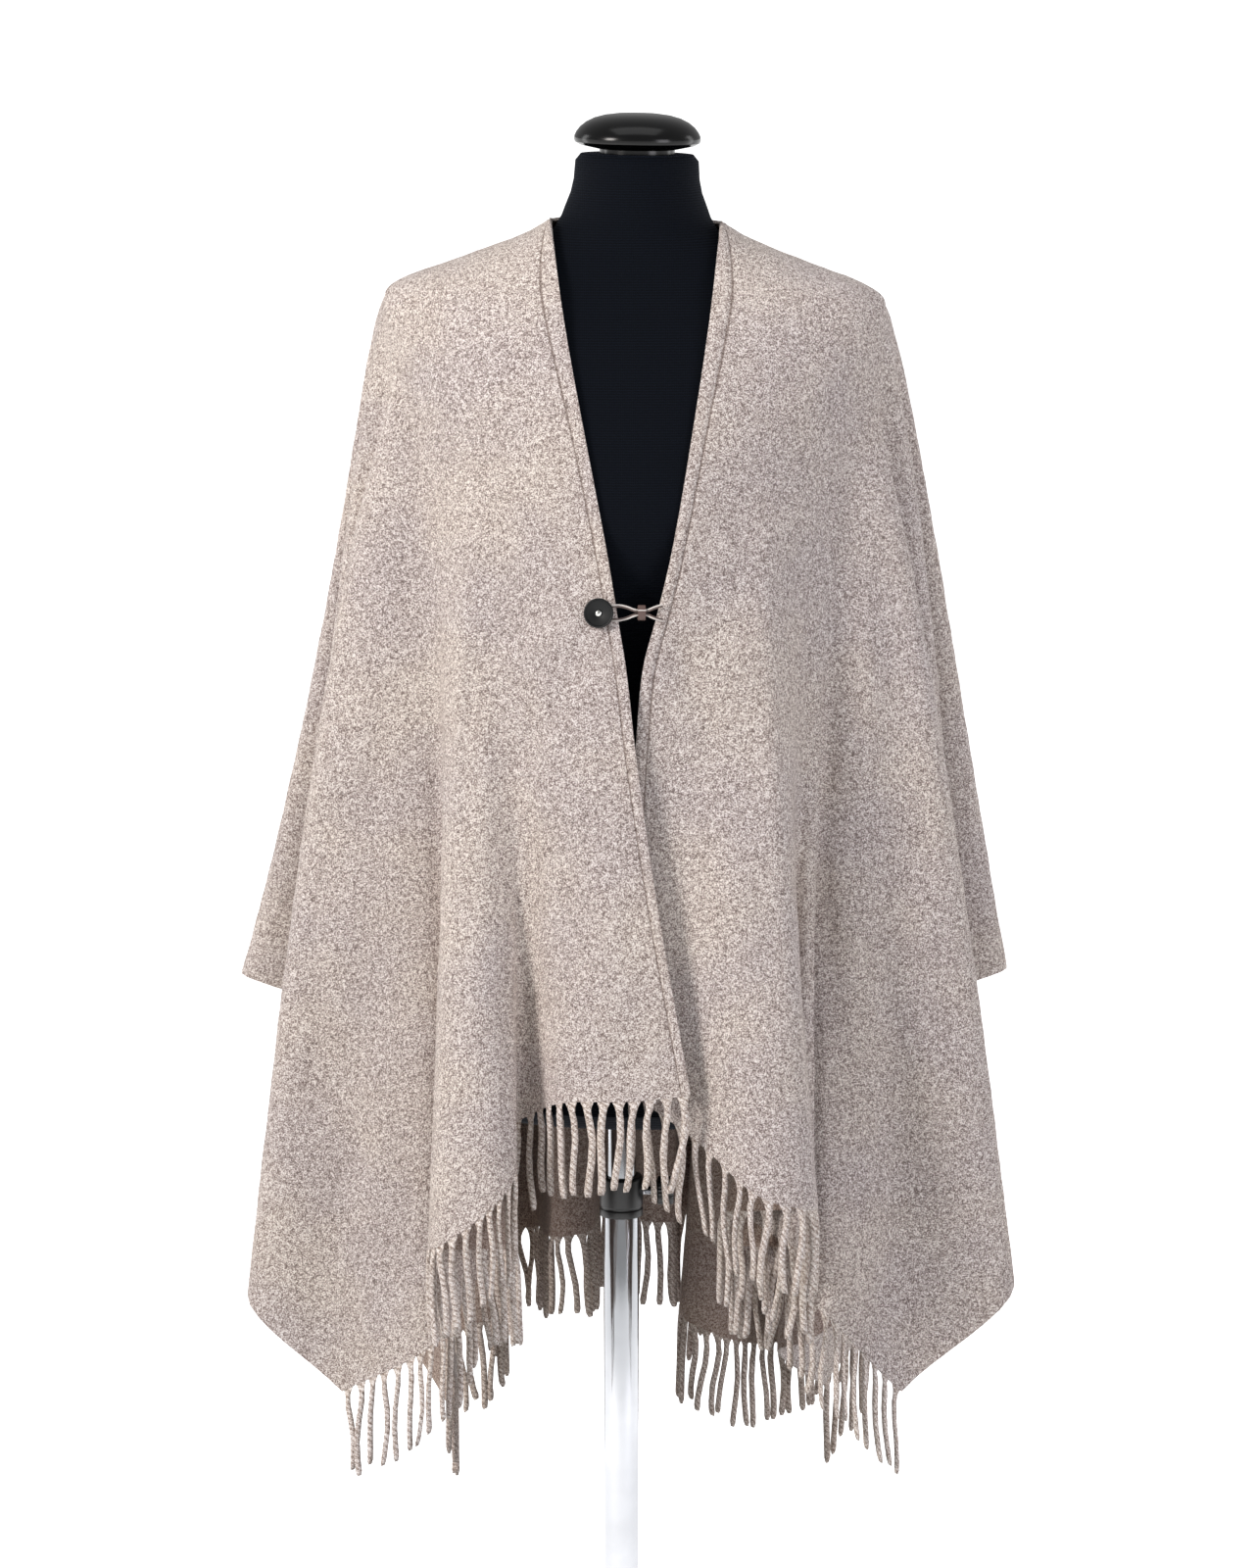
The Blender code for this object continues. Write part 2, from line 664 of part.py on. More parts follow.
def make_form(jersey, gloss, chrome, black, base_paint):
    sides = 28
    turns = [2 * math.pi * i / sides for i in range(sides)]
    rings = [[form_point(a, row[0], -form_ease(row[0])) for a in turns] for row in FORM]
    add_object("dress_form", loft(rings), jersey)

    cap = turned(CAP_PROFILE, 28)
    for vert in cap.verts:
        vert.co = leaned((vert.co.x, vert.co.y, vert.co.z))
    add_object("neck_cap", cap, gloss)

    add_object("stand_rod", turned(ROD_PROFILE, 24), chrome)
    add_object("stand_tube", ring_body(TUBE_PROFILE, 24), chrome)
    add_object("stand_clamp", ring_body(CLAMP_PROFILE, 28), black)
    screw = turned(SCREW_PROFILE, 14)
    knob = turned(KNOB_PROFILE, 24)
    for i, vert in enumerate(knob.verts):
        if i % 2 and abs(vert.co.xy.length - KNOB_RADIUS) < GAP:
            vert.co.xy *= 0.94
    for name, bm, look in (("clamp_screw", screw, chrome), ("clamp_knob", knob, black)):
        for vert in bm.verts:
            x, y, z = vert.co
            vert.co = (z, y, CLAMP_SCREW_HEIGHT - x)
        add_object(name, bm, look)
    add_object("stand_base", turned(BASE_PROFILE, 36), base_paint)


def edge_near(cloth, index, beside, height):
    """A point on the front edge at that height, with the way into the panel and the wall's normal."""
    columns, normals = cloth[1], cloth[2]
    line = columns[index]
    k = next(j for j in range(len(line) - 1) if line[j + 1].z < height)
    share = (line[k].z - height) / (line[k].z - line[k + 1].z)
    on_edge = line[k].lerp(line[k + 1], share)
    other = columns[beside][k].lerp(columns[beside][k + 1], share)
    face = normals[index][k].lerp(normals[index][k + 1], share).normalized()
    if face.y > 0:
        face.negate()
    return on_edge, (other - on_edge).normalized(), face


def lay_on(skin, p, face, height):
    """p moved along face until it is at least height away from the cloth."""
    hit = skin.ray_cast(p + face * 0.006, -face, 0.006)[0]
    if hit:
        p = hit + face * height
    for _ in range(40):
        distance = skin.find_nearest(p)[3]
        if distance >= height:
            break
        p = p + face * (height - distance + 0.1 * MM)
    return p


def clear_between(skin, path, face):
    """Lifts the path where the straight run between two of its points comes too near the cloth."""
    for one, other in zip(path, path[1:]):
        short = CORD_RADIUS + CORD_BRIDGE - skin.find_nearest((one + other) / 2)[3]
        if short > 0:
            one += face * short
            other += face * short
    return path


def make_clasp(cloth, black, silver, cord_look, leather):
    """Button on the left edge, and the cord loop that reaches over the opening from the right edge."""
    skin = cloth[3]
    left, inward, face = edge_near(cloth, 0, 1, CLASP_HEIGHT)
    right, outward, right_face = edge_near(cloth, -1, -2, CLASP_HEIGHT)
    on_cloth = skin.ray_cast(left + inward * BUTTON_INSET + face * 0.02, -face)[0]
    centre = on_cloth + face * BUTTON_SEAT
    turn = face.to_track_quat("Z", "X").to_matrix()
    for name, profile, sides, look in (
        ("clasp_button", BUTTON_PROFILE, 20, black),
        ("clasp_stud", STUD_PROFILE, 10, silver),
    ):
        bm = turned(profile, sides)
        for vert in bm.verts:
            vert.co = centre + turn @ vert.co
        add_object(name, bm, look)

    start = centre + face * CORD_LIFT
    finish = right + outward * 0.004 + right_face * (EDGE_WALL / 2)

    for name, side in (("clasp_cord_upper", 1), ("clasp_cord_lower", -1)):
        path = []
        for share, spread in CORD_SPREAD:
            p = start.lerp(finish, share) + Vector((0, 0, side * spread * MM))
            lifted = WRAP_LIFT * max(0.0, 1 - abs(share - WRAP_AT) / 0.3)
            lifted += CORD_END_LIFT * min(max((share - 0.74) / 0.1, 0.0), 1.0)
            path.append(lay_on(skin, p + face * lifted, face, CORD_RADIUS + CORD_CLEAR))
        add_object(name, tube(clear_between(skin, path, face), CORD_RADIUS), cord_look)
    at_wrap = start.lerp(finish, WRAP_AT) + face * WRAP_LIFT * 0.93
    basis = (finish - start).to_track_quat("Z", "Y").to_matrix()
    bm = ring_body(WRAP_PROFILE, 16)
    for vert in bm.verts:
        vert.co = at_wrap + basis @ vert.co
    for vert in bm.verts:
        vert.co.z += (vert.co.z - at_wrap.z) * WRAP_STRETCH
    add_object("clasp_wrap", bm, leather)


def build():
    for old in list(bpy.data.objects):
        bpy.data.objects.remove(old)
    wool = material("melange_wool", (0.56, 0.49, 0.46), 0.95)
    yarn = material("fringe_yarn", (0.56, 0.49, 0.46), 0.95)
    jersey = material("black_jersey", (0.008, 0.009, 0.014), 0.9)
    gloss = material("gloss_black", (0.006, 0.006, 0.007), 0.2)
    chrome = material("chrome", (0.75, 0.75, 0.76), 0.15, 1.0)
    black = material("black_plastic", (0.012, 0.012, 0.012), 0.45)
    paint = material("black_paint", (0.02, 0.02, 0.021), 0.4)
    button = material("button_black", (0.01, 0.012, 0.012), 0.4)
    silver = material("silver_stud", (0.7, 0.7, 0.7), 0.3, 1.0)
    cord = material("cord", (0.45, 0.42, 0.39), 0.8)
    leather = material("brown_leather", (0.10, 0.05, 0.035), 0.6)
    cloth = make_cape(wool)
    last = cloth[0][-1]
    half = HALF_WIDTH
    side = FRONT_LENGTH + BACK_LENGTH
    make_fringe("fringe_front_left", yarn, cloth, 0.0, half, 1)
    make_fringe("fringe_back", yarn, cloth, half + side, last - half - side, 2)
    make_fringe("fringe_front_right", yarn, cloth, last - half, last, 3)
    make_form(jersey, gloss, chrome, black, paint)
    make_clasp(cloth, button, silver, cord, leather)


build()
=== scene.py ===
# %% [markdown]
# # A fringed poncho on a dress form
# The real garment is one rectangle of brushed melange wool. A slit runs from the front hem to the back of the
# neck, and the cloth is laid over the shoulders, so its corners hang at the sides and its two ends become the
# front and back hems with twisted fringe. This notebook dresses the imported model: it adds finer shapes and
# real finishes over the plain solids, and every piece keeps the place that the solids give it.

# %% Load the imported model
import bisect
import math
import random

import bmesh
import bpy
import numpy as np
from mathutils import Matrix, Vector
from mathutils.bvhtree import BVHTree


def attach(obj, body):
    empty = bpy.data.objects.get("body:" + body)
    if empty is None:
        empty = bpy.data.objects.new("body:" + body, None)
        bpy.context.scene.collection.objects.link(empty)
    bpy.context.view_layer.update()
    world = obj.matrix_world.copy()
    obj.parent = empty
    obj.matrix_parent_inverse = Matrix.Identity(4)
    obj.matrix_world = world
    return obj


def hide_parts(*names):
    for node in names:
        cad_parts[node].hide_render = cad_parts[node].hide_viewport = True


MM = 0.001
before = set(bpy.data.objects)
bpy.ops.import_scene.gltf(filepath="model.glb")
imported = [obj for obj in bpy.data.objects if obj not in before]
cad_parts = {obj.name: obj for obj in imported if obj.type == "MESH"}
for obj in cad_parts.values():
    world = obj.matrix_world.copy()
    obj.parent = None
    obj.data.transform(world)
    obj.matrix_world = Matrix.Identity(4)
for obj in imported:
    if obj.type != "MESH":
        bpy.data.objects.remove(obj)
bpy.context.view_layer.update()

# %% [markdown]
# ## Camera
# The photograph looks down on the form by about ten degrees from well back, with a long lens, which keeps the
# two shoulders the same size. The lens is worked out so that one picture unit at the form is 0.75 mm.

# %% Set the camera
CAMERA_PLACE = (0.0045, -3.6, 1.5695)
CAMERA_TILT = math.radians(90 - 10.5)


def place_camera():
    lens = bpy.data.cameras.new("camera")
    lens.sensor_fit = "VERTICAL"
    lens.sensor_height = 36
    lens.lens = 108
    camera = bpy.data.objects.new("camera", lens)
    camera.location = CAMERA_PLACE
    camera.rotation_euler = (CAMERA_TILT, 0, 0)
    bpy.context.scene.collection.objects.link(camera)
    bpy.context.scene.camera = camera


place_camera()

# %% [markdown]
# ## Colours and material nodes
# Colours are picked as sRGB hex values, the way a paint program shows them, and Blender's sockets want linear
# values, so one function turns them. A second small function adds a shader node with its settings and links,
# which keeps each material below down to a few readable lines.


# %% Colour and node helpers
def linear(hex_colour):
    """The linear RGBA of an sRGB hex colour such as 'c4b6ad'."""
    parts = [int(hex_colour[i:i + 2], 16) / 255 for i in (0, 2, 4)]
    return (*[c / 12.92 if c <= 0.04045 else ((c + 0.055) / 1.055) ** 2.4 for c in parts], 1.0)


def add(tree, kind, inputs=None, **settings):
    """Adds a node. Each input is a value, or a linked output socket of another node."""
    node = tree.nodes.new(kind)
    for name, value in settings.items():
        setattr(node, name, value)
    for key, value in (inputs or {}).items():
        if isinstance(value, bpy.types.NodeSocket):
            tree.links.new(value, node.inputs[key])
        else:
            node.inputs[key].default_value = value
    return node


def ramp(tree, source, *stops):
    """A colour ramp on a 0 to 1 value, from (position, hex colour) stops."""
    node = add(tree, "ShaderNodeValToRGB", {"Fac": source})
    while len(node.color_ramp.elements) < len(stops):
        node.color_ramp.elements.new(0.5)
    for element, (position, colour) in zip(node.color_ramp.elements, stops):
        element.position = position
        element.color = linear(colour)
    return node.outputs["Color"]


def new_material(name, roughness, metallic=0.0, **sockets):
    """A material with a Principled shader. Returns it with its node tree and the shader."""
    made = bpy.data.materials.new(name)
    made.use_nodes = True
    shader = made.node_tree.nodes["Principled BSDF"]
    shader.inputs["Roughness"].default_value = roughness
    shader.inputs["Metallic"].default_value = metallic
    for key, value in sockets.items():
        shader.inputs[key.replace("_", " ")].default_value = value
    return made, made.node_tree, shader


def bumped(tree, shader, height, distance, strength=1.0):
    """Sends a height to the shader's normal as a bump of that many metres."""
    node = add(tree, "ShaderNodeBump", {"Height": height, "Distance": distance, "Strength": strength})
    tree.links.new(node.outputs["Normal"], shader.inputs["Normal"])


def summed(tree, one, other, share):
    """one + other * share."""
    node = add(tree, "ShaderNodeMath", {0: other, 1: share, 2: one}, operation="MULTIPLY_ADD")
    return node.outputs[0]


# %% [markdown]
# ## Melange wool
# Melange yarn is spun from fibres dyed before spinning, so each thread shows light, pinkish and dark flecks.
# The cloth is a twill, brushed until its nap hides most of the weave. The flecks are really about 0.5 mm. They
# are drawn at 1 mm here, because finer ones would blur to one flat colour in the render. Dyed fibres are
# mixed before they are spun, so the flecks have no direction, and they read Object coordinates, which nothing
# stretches. The twill's ribs read the UV map, which holds each point's place on the flat cloth in metres.

# %% Make the melange wool
FLECK = 1.0 * MM
TWILL_PITCH = 3.0 * MM
CLOUD = 0.085


def melange(name, dark, middle, light, bright, fleck_size=FLECK):
    """Brushed melange wool: returns the material, its tree and shader, and the flecks' height."""
    made, tree, shader = new_material(name, 0.96, Sheen_Weight=0.25, Sheen_Roughness=0.45)
    shader.inputs["Sheen Tint"].default_value = linear("e6dcd4")
    shader.inputs["Specular IOR Level"].default_value = 0.18
    place = add(tree, "ShaderNodeTexCoord").outputs["Object"]
    fleck = add(tree, "ShaderNodeTexNoise", {"Vector": place, "Scale": 1 / fleck_size, "Detail": 3.0, "Roughness": 0.72})
    fibre = add(tree, "ShaderNodeTexNoise", {"Vector": place, "Scale": 0.36 / fleck_size, "Detail": 4.0})
    cloud = add(tree, "ShaderNodeTexNoise", {"Vector": place, "Scale": 1 / CLOUD, "Detail": 2.0})
    mixed = summed(tree, fleck.outputs["Fac"], fibre.outputs["Fac"], 0.30)
    mixed = summed(tree, mixed, cloud.outputs["Fac"], 0.035)
    spread = add(tree, "ShaderNodeMapRange", {"Value": mixed, "From Min": 0.555, "From Max": 0.775})
    colour = ramp(tree, spread.outputs[0], (0.10, dark), (0.42, middle), (0.66, light), (0.92, bright))
    warm = ramp(tree, cloud.outputs["Fac"], (0.38, "fcfafb"), (0.62, "fffcf8"))
    tint = add(tree, "ShaderNodeMixRGB", {"Fac": 1.0, "Color1": colour, "Color2": warm}, blend_type="MULTIPLY")
    tree.links.new(tint.outputs["Color"], shader.inputs["Base Color"])
    return made, tree, shader, place, mixed


def twill_wool(name, *colours):
    """The cloth: melange flecks over the faint slanting ribs of a brushed twill, darker where it is sewn down."""
    made, tree, shader, place, mixed = melange(name, *colours)
    seam = add(tree, "ShaderNodeAttribute", attribute_name="seam").outputs["Fac"]
    before = shader.inputs["Base Color"].links[0].from_socket
    sewn = add(
        tree,
        "ShaderNodeMixRGB",
        {"Fac": 1.0, "Color1": before, "Color2": ramp(tree, seam, (0.15, "ffffff"), (0.85, "b3aaa5"))},
        blend_type="MULTIPLY",
    )
    tree.links.new(sewn.outputs["Color"], shader.inputs["Base Color"])
    flat = add(tree, "ShaderNodeUVMap", uv_map="flat").outputs["UV"]
    turned = add(tree, "ShaderNodeMapping", {"Vector": flat, "Rotation": (0, 0, math.radians(52))})
    rib = add(
        tree,
        "ShaderNodeTexWave",
        {"Vector": turned.outputs[0], "Scale": 0.314 / TWILL_PITCH, "Distortion": 2.2, "Detail": 2.0},
    )
    bumped(tree, shader, summed(tree, mixed, rib.outputs["Fac"], 0.25), 0.7 * MM, 0.55)
    return made


WOOL = twill_wool("brushed melange wool twill", "766a66", "b4a7a2", "d2c8c3", "f7f3f0")
# The inner face takes a darker, browner copy of the same wool: painted shade for the inside of the poncho.
WOOL_INSIDE_SHADE = twill_wool("brushed melange wool with painted inside shade", "715e56", "9a877d", "b3a197", "cdbfb5")
print("wool flecks drawn at", FLECK / MM, "mm")

# %% [markdown]
# ## Twisted fringe yarn
# Each strand is a few plies of the same wool, twisted together. The grooves between the plies run round the
# strand as slanting marks about 5 mm apart. They are drawn as a bump and a darker line of painted shade, from
# the strand's own UV map, where u goes once round it and v runs down it in metres, so a strand needs only a few faces.

# %% Make the fringe yarn
PLY_MARK = 5.0 * MM


def twisted_yarn(name, *colours):
    made, tree, shader, place, mixed = melange(name, *colours, fleck_size=1.1 * MM)
    round_it = add(tree, "ShaderNodeUVMap", uv_map="twist").outputs["UV"]
    parts = add(tree, "ShaderNodeSeparateXYZ", {"Vector": round_it})
    down = add(tree, "ShaderNodeMath", {0: parts.outputs["Y"], 1: 1 / PLY_MARK}, operation="MULTIPLY")
    turns = summed(tree, down.outputs[0], parts.outputs["X"], 3.0)
    angle = add(tree, "ShaderNodeMath", {0: turns, 1: math.tau}, operation="MULTIPLY")
    wave = add(tree, "ShaderNodeMath", {0: angle.outputs[0]}, operation="SINE")
    ply = add(tree, "ShaderNodeMapRange", {"Value": wave.outputs[0], "From Min": -1.0, "From Max": 0.2})
    # Painted shade: the colour is darkened along the ply grooves.
    groove_shade = ramp(tree, ply.outputs[0], (0.0, "cfc7c2"), (0.6, "ffffff"))
    before = shader.inputs["Base Color"].links[0].from_socket
    shaded = add(tree, "ShaderNodeMixRGB", {"Fac": 1.0, "Color1": before, "Color2": groove_shade}, blend_type="MULTIPLY")
    tree.links.new(shaded.outputs["Color"], shader.inputs["Base Color"])
    bumped(tree, shader, summed(tree, ply.outputs[0], mixed, 0.3), 0.7 * MM, 0.55)
    return made


YARN = twisted_yarn("twisted melange yarn", "a1948c", "dfd4cc", "f3ebe5", "fffdfb")
# The strands of the back hem take a darker copy of the same yarn: painted shade for the fringe hanging behind.
YARN_SHADE_BEHIND = twisted_yarn("twisted melange yarn with painted shade behind", "94877f", "c4b7ae", "dbcfc7", "f2eae4")
print("ply marks every", PLY_MARK / MM, "mm")

# %% [markdown]
# ## Black jersey, lacquer, chrome and painted steel
# The torso wears a fine ribbed jersey cover: its courses run level, about 1.9 mm apart, and the black yarn has
# a blue cast. The neck cap is lacquered wood, the pole is chromed steel tube, the height clamp and its knob are
# moulded plastic with a satin skin, and the base is steel under satin powder paint with a faint orange peel.

# %% Make the stand's finishes
COURSE = 1.9 * MM
WALE = 1.6 * MM


def jersey_cover():
    made, tree, shader = new_material("black ribbed jersey", 0.82, Sheen_Weight=0.03, Sheen_Roughness=0.4)
    shader.inputs["Sheen Tint"].default_value = linear("8fa0c8")
    shader.inputs["Specular IOR Level"].default_value = 0.1
    place = add(tree, "ShaderNodeTexCoord").outputs["Object"]
    courses = add(
        tree,
        "ShaderNodeTexWave",
        {"Vector": place, "Scale": 0.314 / COURSE, "Distortion": 0.25, "Detail": 1.0, "Detail Scale": 2.0},
        bands_direction="Z",
    )
    wales = add(
        tree,
        "ShaderNodeTexWave",
        {"Vector": place, "Scale": 0.314 / WALE, "Distortion": 0.2},
        bands_direction="X",
    )
    lint = add(tree, "ShaderNodeTexNoise", {"Vector": place, "Scale": 420.0, "Detail": 3.0})
    knit = summed(tree, courses.outputs["Fac"], wales.outputs["Fac"], 0.3)
    knit = summed(tree, knit, lint.outputs["Fac"], 0.4)
    spread = add(tree, "ShaderNodeMapRange", {"Value": knit, "From Min": 0.1, "From Max": 1.5})
    colour = ramp(tree, spread.outputs[0], (0.0, "000105"), (0.6, "03070f"), (1.0, "090f19"))
    tree.links.new(colour, shader.inputs["Base Color"])
    bumped(tree, shader, knit, 0.5 * MM, 0.6)
    return made


def mottled(name, low, high, roughness, grain, depth, metallic=0.0, **sockets):
    """A hard finish whose colour and gloss drift a little, with a fine grain in the skin."""
    made, tree, shader = new_material(name, roughness, metallic, **sockets)
    place = add(tree, "ShaderNodeTexCoord").outputs["Object"]
    drift = add(tree, "ShaderNodeTexNoise", {"Vector": place, "Scale": 22.0, "Detail": 4.0})
    skin = add(tree, "ShaderNodeTexNoise", {"Vector": place, "Scale": 1 / grain, "Detail": 2.0})
    tree.links.new(ramp(tree, drift.outputs["Fac"], (0.35, low), (0.65, high)), shader.inputs["Base Color"])
    gloss = add(
        tree,
        "ShaderNodeMapRange",
        {"Value": drift.outputs["Fac"], "To Min": roughness * 0.85, "To Max": roughness * 1.2},
    )
    tree.links.new(gloss.outputs[0], shader.inputs["Roughness"])
    bumped(tree, shader, skin.outputs["Fac"], depth, 0.5)
    return made


JERSEY = jersey_cover()
LACQUER = mottled("black lacquered wood", "030304", "050506", 0.2, 6.0 * MM, 0.06 * MM, Specular_IOR_Level=0.3)
CHROME = mottled("chromed steel tube", "b2b4b8", "bec0c4", 0.13, 5.0 * MM, 0.01 * MM, metallic=1.0)
CLAMP_BLACK = mottled("satin moulded plastic", "0b0b0c", "121213", 0.38, 0.8 * MM, 0.04 * MM)
BASE_PAINT = mottled("satin black powder paint", "101011", "171718", 0.42, 2.2 * MM, 0.09 * MM)
BUTTON_BLACK = mottled("polished resin button", "050708", "0a0d0e", 0.42, 3.0 * MM, 0.03 * MM, Specular_IOR_Level=0.3)
STUD_METAL = mottled("nickel-plated stud", "c9c9c6", "dededb", 0.2, 1.0 * MM, 0.02 * MM, metallic=1.0)
LEATHER = mottled("brown vegetable-tanned leather", "4a3531", "64504a", 0.45, 0.7 * MM, 0.12 * MM)
# Painted highlight: this light material stands for the bright edge of the brown cords and a bright band round the
# leather wrap.
CORD_HIGHLIGHT = mottled("light cord painted as highlight", "b9aea8", "e9e3de", 0.5, 0.6 * MM, 0.2 * MM)
CORD_DARK = mottled("waxed brown cord", "3a2f2c", "6a5a55", 0.5, 0.6 * MM, 0.2 * MM)
THREAD = mottled("matching sewing thread", "8d807a", "9f928b", 0.8, 0.5 * MM, 0.1 * MM)

# %% [markdown]
# ## Turned pieces
# Caps, tubes, knobs and bases are round, so each is drawn as half an outline and spun about the pole. The
# sharp rims of the rod, the tube and the clamp are then bevelled, because no moulded or turned rim is truly sharp,
# and the small round catches the light. The helper also leaves the object at the origin, with its place in its mesh,
# as the solids are.


# %% Spin and finish helpers
def finished(name, bm, material, node=None, smooth=30):
    """Turns a bmesh into a finished piece that rides on the root body and may stand for one solid."""
    bmesh.ops.recalc_face_normals(bm, faces=bm.faces)
    mesh = bpy.data.meshes.new(name)
    bm.to_mesh(mesh)
    bm.free()
    mesh.shade_smooth()
    mesh.set_sharp_from_angle(angle=math.radians(smooth))
    mesh.materials.append(material)
    piece = bpy.data.objects.new(name, mesh)
    bpy.context.scene.collection.objects.link(piece)
    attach(piece, "root")
    if node:
        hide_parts(node)
    print(name, "faces:", len(mesh.polygons))
    return piece


def spun(outline, steps, rim=0.0, closed=False):
    """A body spun about the Z axis from (radius, height) pairs. When rim is given, rims sharper than 30 degrees get a
    bevel.
    """
    bm = bmesh.new()
    points = [bm.verts.new((r, 0, z)) for r, z in outline]
    for one, other in zip(points, points[1:] + (points[:1] if closed else [])):
        bm.edges.new((one, other))
    bmesh.ops.spin(
        bm, geom=bm.verts[:] + bm.edges[:], cent=(0, 0, 0), axis=(0, 0, 1), angle=math.tau, steps=steps, use_merge=True
    )
    bmesh.ops.remove_doubles(bm, verts=bm.verts, dist=0.005 * MM)
    bmesh.ops.recalc_face_normals(bm, faces=bm.faces)
    if rim:
        sharp = [e for e in bm.edges if len(e.link_faces) == 2 and e.calc_face_angle() > math.radians(30)]
        bmesh.ops.bevel(
            bm, geom=sharp, offset=rim, offset_type="OFFSET", segments=2, profile=0.5, affect="EDGES",
            material=-1, clamp_overlap=True,
        )
    return bm


# %% [markdown]
# ## The neck cap and the stand
# The cap is a low dome of lacquered wood that overhangs the neck. Below the torso a chromed rod slides in a
# chromed tube, and a plastic collar with a ribbed thumb screw holds the height. The round base lies below
# the picture's edge, so it is finished plainly. All stand on the pole's axis, except the cap, which follows
# the form: the torso stands about one degree off plumb, as it does in the photograph.

# %% Spin the cap and the stand
TORSO_BOTTOM = 0.649
LEAN = 0.0165
KNOB_RIBS = 24
SCREW_HEIGHT = 0.5755

CAP_OUTLINE = [
    (0.0, 1.3893), (0.0288, 1.3893), (0.0288, 1.3925), (0.0438, 1.3956), (0.0476, 1.3978), (0.0484, 1.4000),
    (0.0479, 1.4027), (0.0464, 1.4058), (0.0436, 1.4094), (0.0392, 1.4129), (0.0330, 1.4160), (0.0250, 1.4182),
    (0.0150, 1.4195), (0.0, 1.4200),
]
ROD_OUTLINE = [(0.0, 0.3002), (0.0115, 0.3002), (0.0115, 0.6490), (0.0, 0.6490)]
TUBE_OUTLINE = [(0.0140, 0.0160), (0.0140, 0.5660), (0.0118, 0.5660), (0.0118, 0.0160)]
CLAMP_OUTLINE = [
    (0.0143, 0.5560), (0.0172, 0.5560), (0.0172, 0.5615), (0.0165, 0.5622), (0.0165, 0.5638), (0.0172, 0.5645),
    (0.0172, 0.5862), (0.0160, 0.5880), (0.0118, 0.5880), (0.0118, 0.5665), (0.0143, 0.5665),
]
SCREW_OUTLINE = [(0.0, 0.0175), (0.0035, 0.0175)]
for thread in range(8):
    SCREW_OUTLINE += [(0.0035, 0.0178 + 0.001 * thread), (0.0031, 0.0183 + 0.001 * thread)]
SCREW_OUTLINE += [(0.0035, 0.0262), (0.0, 0.0262)]
KNOB_OUTLINE = [
    (0.0, 0.0265), (0.0070, 0.0265), (0.0088, 0.0280), (0.0112, 0.0292), (0.0112, 0.0398), (0.0100, 0.0412),
    (0.0066, 0.0415), (0.0060, 0.0409), (0.0, 0.0409),
]
BASE_OUTLINE = [
    (0.0, 0.0), (0.1730, 0.0), (0.1750, 0.0020), (0.1750, 0.0060), (0.1735, 0.0078), (0.1700, 0.0088),
    (0.0420, 0.0124), (0.0290, 0.0136), (0.0250, 0.0157), (0.0, 0.0157),
]


def leaned(p):
    """The form stands a little off plumb, leaning towards +X about the foot of the torso."""
    return Vector((p[0] + LEAN * (p[2] - TORSO_BOTTOM), p[1], p[2] - LEAN * p[0]))


cap = spun(CAP_OUTLINE, 72)
for vert in cap.verts:
    vert.co = leaned(vert.co)
finished("lacquered_neck_cap", cap, LACQUER, "neck_cap", smooth=38)
finished("chromed_rod", spun(ROD_OUTLINE, 48, rim=0.4 * MM), CHROME, "stand_rod")
finished("chromed_tube", spun(TUBE_OUTLINE, 48, rim=0.3 * MM, closed=True), CHROME, "stand_tube")
finished("height_clamp", spun(CLAMP_OUTLINE, 48, rim=0.3 * MM, closed=True), CLAMP_BLACK, "stand_clamp")
finished("round_base", spun(BASE_OUTLINE, 96), BASE_PAINT, "stand_base", smooth=40)

screw = spun(SCREW_OUTLINE, 24)
knob = spun(KNOB_OUTLINE, KNOB_RIBS * 4)
for vert in knob.verts:
    around = math.atan2(vert.co.y, vert.co.x)
    if vert.co.xy.length > 0.0095:
        vert.co.xy *= 0.975 + 0.025 * math.cos(around * KNOB_RIBS)
for bm in (screw, knob):
    for vert in bm.verts:
        x, y, z = vert.co
        vert.co = (z, y, SCREW_HEIGHT - x)
finished("clamp_screw_thread", screw, CHROME, "clamp_screw", smooth=50)
finished("ribbed_knob", knob, CLAMP_BLACK, "clamp_knob")

# %% [markdown]
# ## The dress form's body
# The body is a general figure's torso with no arms or legs. Its level sections are ellipses, deeper in front
# or behind as the table says, and a smooth curve joins them from the foot to the neck. Under the cloth the
# form is built a few millimetres smaller than the shape the cloth lies on, so the two never touch.

# %% Describe the form's sections
FORM_COLUMNS = ("z", "half_width", "front", "back")
FORM = [
    (0.649, 0.141, 0.098, 0.102),
    (0.652, 0.147, 0.104, 0.108),
    (0.700, 0.151, 0.106, 0.113),
    (0.760, 0.152, 0.103, 0.115),
    (0.860, 0.136, 0.094, 0.102),
    (0.960, 0.118, 0.088, 0.086),
    (1.050, 0.139, 0.108, 0.092),
    (1.115, 0.158, 0.128, 0.100),
    (1.170, 0.170, 0.120, 0.108),
    (1.220, 0.184, 0.106, 0.108),
    (1.250, 0.192, 0.094, 0.098),
    (1.272, 0.1925, 0.083, 0.086),
    (1.284, 0.187, 0.076, 0.078),
    (1.293, 0.168, 0.071, 0.073),
    (1.301, 0.145, 0.067, 0.068),
    (1.311, 0.118, 0.063, 0.063),
    (1.324, 0.085, 0.059, 0.059),
    (1.335, 0.064, 0.055, 0.055),
    (1.350, 0.0540, 0.052, 0.052),
    (1.370, 0.0480, 0.048, 0.048),
    (1.384, 0.0470, 0.047, 0.047),
    (1.389, 0.0430, 0.043, 0.043),
]
FORM_ZS = [row[0] for row in FORM]
FORM_VALUES = [[row[k] for row in FORM] for k in (1, 2, 3)]


